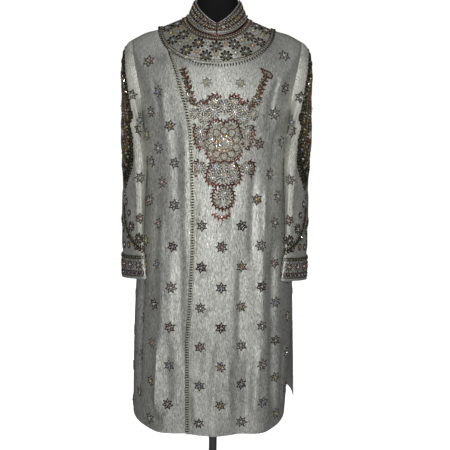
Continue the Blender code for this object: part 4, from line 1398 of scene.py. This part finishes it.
def cuffWork(cloth):
    wide, top = (1000 * float(n) for n in (panels[cloth].across[0, -1], panels[cloth].down[0, 0]))
    onCuff = 1000 * (coat["cuffLift"] + coat["trimCloth"])

    def needleAt(u, drop):
        return Needle("cuff work", cloth, u, top + drop, lift=onCuff)

    # dotted dark rows above, and a scroll of leaves between two rows below the flowers
    for k in range(int(2 * wide / 4.6)):
        u = -wide + 2.3 + 4.6 * k
        for drop, pair in cuffRows:
            needleAt(u, drop).sew("bugle", 0, 0, 0.0, (4.6, 2.6, 2.0), pick(pair, k))
        needleAt(u, 7.2).sew("bead", 0, 0, 0, (4.2, 4.4, 2.4), pick("oldGold ink ink", k))
        needle = needleAt(u, 52.2)
        leaf, way = pick("maroon umber ink redBrown", k), radians(58 if k % 2 else -58)
        needle.sew("petal", 0, 0, way, (12.4, 5.6, 1.6), leaf)
        if k % 4 == 0:
            needle.sew("stone", 2, 0, 0, (4.0, 3.0), pick(sparkle, k))
    for k, u in enumerate(evenly(-wide, wide, 8)):
        starFlower(needleAt(u, 28.5), 14.6, 8, "umber", "ink", pick(sparkle, k), "silver olive")
        side = needleAt(u + wide / 8, 30.0)
        floret(side, 5.2, "umber", "amber", 7)
        side.sew("petal", 0, 9.2, radians(90), (7.0, 4.6, 1.4), "umber")


for side in ("left", "right"):
    sleeveMango("sleeve_" + side)
    mangoFilling("sleeve_" + side)
    sleeveBranches("sleeve_" + side)
    cuffWork("cuff_" + side)
print("sleeves and cuffs sewn")


# the stitched shapes and their finishes
def finishPaint(name, grain, wear, worn, rough, bumps=0.0, **constants):
    # the colour comes from each stitch and goes over to the worn one in small patches
    paint = Paint(name, **constants)
    tint = paint.add("ShaderNodeAttribute", {"attribute_name": "tint"})
    patches = paint.noise("Object", (grain[0],) * 3, grain[1])
    paint.set(Base_Color=paint.mix(paint.range(patches, *wear), tint, worn))
    paint.set(Roughness=paint.range(patches, 0.3, 0.7, *rough))
    if bumps:
        paint.set(Normal=paint.bump(patches, bumps, 0.4))
    return paint.material


def stitchShape(kind):
    # each shape is a unit long, wide and high, and stands on the cloth
    turn = [pi / 3 * k for k in range(6)]
    sides = [(k, (k + 1) % 6) for k in range(6)]
    if kind == "petal":
        outline = [(-0.5, 0), (-0.34, 0.30), (-0.04, 0.5), (0.26, 0.28), (0.5, 0),
                   (0.26, -0.28), (-0.04, -0.5), (-0.34, -0.30)]
        verts = [(x, y, 0) for x, y in outline] + [(-0.22, 0, 1), (0.16, 0, 0.9)]
        faces = [(0, 8, 1), (1, 8, 2), (2, 8, 9), (2, 9, 3), (3, 9, 4), (4, 9, 5), (5, 9, 6),
                 (6, 9, 8), (6, 8, 7), (7, 8, 0), tuple(range(8))]
    elif kind == "stone":
        rings = ((0.5, 0), (0.5, 0.4), (0.40, 0.80), (0.24, 0.96), (0.12, 1))
        verts = [(far * cos(a), far * sin(a), high) for far, high in rings for a in turn]
        faces = [(k + n, m + n, m + n + 6, k + n + 6) for n in (0, 6, 12, 18) for k, m in sides]
        faces += [tuple(range(24, 30)), tuple(range(5, -1, -1))]
    elif kind == "bugle":
        verts = [(x, 0.5 * cos(a), 0.5 + 0.5 * sin(a)) for x in (-0.5, 0.5) for a in turn]
        faces = [(k, k + 6, m + 6, m) for k, m in sides]
        faces += [tuple(range(6)), tuple(range(11, 5, -1))]
    else:
        golden = (1 + 5**0.5) / 2
        size = 2 * np.hypot(1, golden)
        base = [(-1, golden, 0), (1, golden, 0), (-1, -golden, 0), (1, -golden, 0)]
        verts = [tuple(np.roll(v, n) / size + (0, 0, 0.5)) for n in range(3) for v in base]
        faces = []
    data = bpy.data.meshes.new(kind)
    data.from_pydata([tuple(map(float, v)) for v in verts], [], faces)
    mesh = bmesh.new()
    mesh.from_mesh(data)
    if kind == "bead":
        bmesh.ops.convex_hull(mesh, input=mesh.verts)
    bmesh.ops.recalc_face_normals(mesh, faces=mesh.faces)
    mesh.to_mesh(data)
    mesh.free()
    if kind != "stone":
        data.shade_smooth()
    if kind == "bugle":
        data.set_sharp_from_angle(angle=radians(65))
    return placed(kind, data)


def sewingTree():
    # instances of one shape on points that know their way out, their aim and their size
    tree = bpy.data.node_groups.new("sew on", "GeometryNodeTree")
    inputs = dict(Places="Geometry", Shape="Object", Finish="Material", Size="Float")
    for name, kind in inputs.items():
        tree.interface.new_socket(name, in_out="INPUT", socket_type="NodeSocket" + kind)
    tree.interface.new_socket("Sewn", in_out="OUTPUT", socket_type="NodeSocketGeometry")
    kinds = dict(
        start="NodeGroupInput", end="NodeGroupOutput", shape="GeometryNodeObjectInfo",
        turn="FunctionNodeAxesToRotation", grow="ShaderNodeVectorMath",
        onPoints="GeometryNodeInstanceOnPoints", real="GeometryNodeRealizeInstances",
        paint="GeometryNodeSetMaterial",
    )
    nodes = {name: tree.nodes.new(kind) for name, kind in kinds.items()}
    nodes["turn"].primary_axis, nodes["turn"].secondary_axis = "Z", "X"
    nodes["grow"].operation = "SCALE"
    for name in ("out", "aim", "size"):
        read = nodes[name] = tree.nodes.new("GeometryNodeInputNamedAttribute")
        read.data_type = "FLOAT_VECTOR"
        read.inputs["Name"].default_value = name
    links = (
        ("start", "Shape", "shape", "Object"), ("out", "Attribute", "turn", "Primary Axis"),
        ("aim", "Attribute", "turn", "Secondary Axis"), ("size", "Attribute", "grow", 0),
        ("start", "Size", "grow", "Scale"), ("start", "Places", "onPoints", "Points"),
        ("shape", "Geometry", "onPoints", "Instance"), ("turn", "Rotation", "onPoints", "Rotation"),
        ("grow", "Vector", "onPoints", "Scale"), ("onPoints", "Instances", "real", "Geometry"),
        ("real", "Geometry", "paint", "Geometry"), ("start", "Finish", "paint", "Material"),
        ("paint", "Geometry", "end", "Sewn"),
    )
    for first, given, second, taken in links:
        tree.links.new(nodes[first].outputs[given], nodes[second].inputs[taken])
    return tree


def setInput(modifier, name, value):
    for item in modifier.node_group.interface.items_tree:
        if item.name == name and item.in_out == "INPUT":
            modifier[item.identifier] = value


# how far stones lean and tints vary, and a stitch's reach past an edge in millimetres
sewing = dict(tilt=0.12, shades=(0.82, 1.15), edge=1.5)


def placesOf(entries, cloth, measure):
    # positions, ways, sizes and tints of a list of stitches on one cloth
    columns = list(zip(*entries))
    u, v, x, y = (np.array(column) / 1000 for column in columns[1:5])
    way, lift = np.array(columns[5])[:, None], np.array(columns[12])[:, None] / 1000
    _, out, right, up, stepU, stepV = cloth.frames(u, v, measure)
    a, b, c = (np.sum(p * q, axis=1) for p, q in ((stepU, right), (stepV, right), (stepV, up)))
    dv = y / nonzero(c, 1e-9)
    du = (x - b * dv) / nonzero(a, 1e-9)
    u, v = u + du, v + dv
    place, out, right, up, _, _ = cloth.frames(u, v, measure)
    aim = right * np.cos(way) + up * np.sin(way)
    size, tint = np.array(columns[6:9]).T / 1000, np.array(columns[9:12]).T
    # a stitch that would fall beyond the cloth's edge is left out
    i, j = cloth.find(u, v, measure)
    missU, missV = (cloth.sample(grid, i, j) for grid in cloth.sides[measure])
    kept = np.hypot(missU - u, missV - v) < sewing["edge"] / 1000
    return [part[kept] for part in (place + out * lift, out, aim, size, tint)]


finishes = dict(
    petal=finishPaint(
        "thread and sequins", (2600, 2.0), (0.3, 0.7, 0.0, 0.45), (0, 0, 0), (0.30, 0.52),
        0.0002, Metallic=0.45,
    ),
    bead=finishPaint(
        "metal beads", (900, 2.0), (0.35, 0.7, 0.0, 0.4), (0.02, 0.02, 0.02), (0.20, 0.36),
        Metallic=0.7,
    ),
    stone=finishPaint(
        "cut glass stones", (700, 1.0), (0.3, 0.7, 0.0, 0.5), (0.9, 0.9, 0.92), (0.06, 0.16),
        Metallic=0.5, Coat_Weight=0.6, IOR=1.7,
    ),
)
finishes["bugle"] = finishes["bead"]


def sewOn(name, shape, finish, tree, place, **read):
    # one mesh of a shape at every place, made by the tree
    data = bpy.data.meshes.new(name + "_places")
    data.from_pydata(place.tolist(), [], [])
    for key, values in read.items():
        kind, field = ("FLOAT_COLOR", "color") if key == "tint" else ("FLOAT_VECTOR", "vector")
        layer = data.attributes.new(key, kind, "POINT")
        layer.data.foreach_set(field, values.astype(np.float32).ravel())
    holder = placed(name + "_places", data)
    modifier = holder.modifiers.new("sew on", "NODES")
    modifier.node_group = tree
    for key, value in (("Shape", shape), ("Finish", finish), ("Size", 1.0)):
        setInput(modifier, key, value)
    graph = bpy.context.evaluated_depsgraph_get()
    mesh = bpy.data.meshes.new_from_object(holder.evaluated_get(graph))
    mesh.name = name
    bpy.data.objects.remove(holder)
    print(name, len(place), len(mesh.polygons))
    return placed(name, mesh)


def sewAll():
    tree = sewingTree()
    shapes = {kind: stitchShape(kind) for kind in ("petal", "bead", "bugle", "stone")}
    zones = {}
    for (zone, cloth, measure), entries in stitches.items():
        for kind in shapes:
            chosen = [entry for entry in entries if entry[0] == kind]
            if chosen:
                found = placesOf(chosen, panels[cloth], measure)
                zones.setdefault((zone, cloth, kind), []).append(found)
    sewn = {}
    for (zone, cloth, kind), found in zones.items():
        place, out, aim, size, tint = (np.concatenate(part) for part in zip(*found))
        if kind == "stone":  # no two stones sit quite alike, so only some catch the light
            out = out + seed.normal(0, sewing["tilt"], out.shape)
        shade = seed.uniform(*sewing["shades"], len(tint))[:, None]
        tint = np.concatenate([np.clip(tint * shade, 0, 1), np.ones((len(tint), 1))], axis=1)
        name = f"{zone.replace(' ', '_')}_{cloth}_{kind}"
        read = dict(out=out, aim=aim, size=size, tint=tint)
        sewn[zone, name] = sewOn(name, shapes[kind], finishes[kind], tree, place, **read)
    for shape in shapes.values():
        bpy.data.objects.remove(shape)
    return sewn


embroidery = sewAll()
for (zone, name), piece in embroidery.items():
    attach(piece, "root")
print("embroidery set", sum(len(p.data.polygons) for p in embroidery.values()))


# camera, lights and floor
view = dict(place=(0.0285, -1.56, 1.276), pitch=13.0, roll=-0.85, focal=555.0, frame=450.0)
stage = dict(floor=14.0, washPower=3.6, washSpread=70, backdropLit=0.06, backdropSeen=1.05)


def placeCamera():
    data = bpy.data.cameras.new("camera")
    data.sensor_width = 36.0
    data.lens = view["focal"] / view["frame"] * data.sensor_width
    camera = placed("camera", data)
    pitch, right = radians(view["pitch"]), Vector((1, 0, 0))
    ahead = Vector((0, cos(pitch), -sin(pitch)))
    roll = Matrix.Rotation(radians(view["roll"]), 3, ahead)
    turn = Matrix((roll @ right, roll @ right.cross(ahead), -ahead)).transposed()
    camera.matrix_world = Matrix.Translation(view["place"]) @ turn.to_4x4()
    bpy.context.scene.camera = camera


def areaLight(name, place, target, size, power):
    data = bpy.data.lights.new(name, "AREA")
    data.shape, data.size, data.size_y, data.energy = "RECTANGLE", size, size, power
    lamp = placed(name, data)
    lamp.location = place
    lamp.rotation_euler = (Vector(target) - Vector(place)).to_track_quat("-Z", "Y").to_euler()


def buildStage():
    paint = Paint("studio floor")
    cloud = paint.noise("Object", (2, 2, 2), 2.0)
    pale = paint.mix(cloud, (0.93, 0.93, 0.93), (0.96, 0.96, 0.96))
    # pale to look at, but it throws little light back up at the cloth
    looked = paint.add("ShaderNodeLightPath")
    paint.set(Base_Color=paint.mix(looked, (0.03, 0.03, 0.03), pale), Roughness=0.8)
    far = stage["floor"]
    corners = [(-far, -far, 0), (far, -far, 0), (far, far, 0), (-far, far, 0)]
    floor = makeMesh("studio_floor", corners, [(0, 1, 2, 3)], [paint.material])
    scene = bpy.context.scene
    # an overhead light for the floor alone keeps it pale out to the horizon
    wash = placed("floor wash", bpy.data.lights.new("floor wash", "SUN"))
    wash.data.energy, wash.data.angle = stage["washPower"], radians(stage["washSpread"])
    lit = bpy.data.collections.new("lit by the floor wash")
    lit.objects.link(floor)
    wash.light_linking.receiver_collection = lit
    scene.world = bpy.data.worlds.new("studio")
    scene.world.use_nodes = True
    nodes, links = scene.world.node_tree.nodes, scene.world.node_tree.links
    nodes["Background"].inputs["Color"].default_value = (1, 1, 1, 1)
    # the backdrop is bright white to look at but only a weak light
    seen = nodes.new("ShaderNodeLightPath")
    strength = nodes.new("ShaderNodeMapRange")
    strength.inputs["To Min"].default_value = stage["backdropLit"]
    strength.inputs["To Max"].default_value = stage["backdropSeen"]
    links.new(seen.outputs["Is Camera Ray"], strength.inputs["Value"])
    links.new(strength.outputs["Result"], nodes["Background"].inputs["Strength"])
    scene.view_settings.view_transform = "Standard"


placeCamera()
buildStage()
areaLight("front softbox", (0.03, -1.70, 1.24), (0, 0, 1.04), 0.30, 16.5)
areaLight("top softbox", (0.03, -1.05, 2.45), (0, 0, 1.42), 0.7, 3)
areaLight("back softbox", (0.0, 2.1, 1.3), (0, 0, 0.98), 0.8, 13)
print("stage set")

# what each piece stands for
stands = {name: (name,) for name in pieces}
slots = {"form_torso": "black_jersey"}
slots["closing_braid"] = slots["yoke_braid"] = "beaded_braid"
for side in ("left", "right"):
    stands["sleeve_" + side] = (f"sleeve_{side}_top", f"sleeve_{side}_under")
    slots["cuff_" + side] = "embroidered_band"
for name, piece in pieces.items():
    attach(piece, "root")
    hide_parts(*stands[name])
    print(name, len(piece.data.polygons))


def plain(box):
    return [[round(float(value), 5) for value in corner] for corner in box]
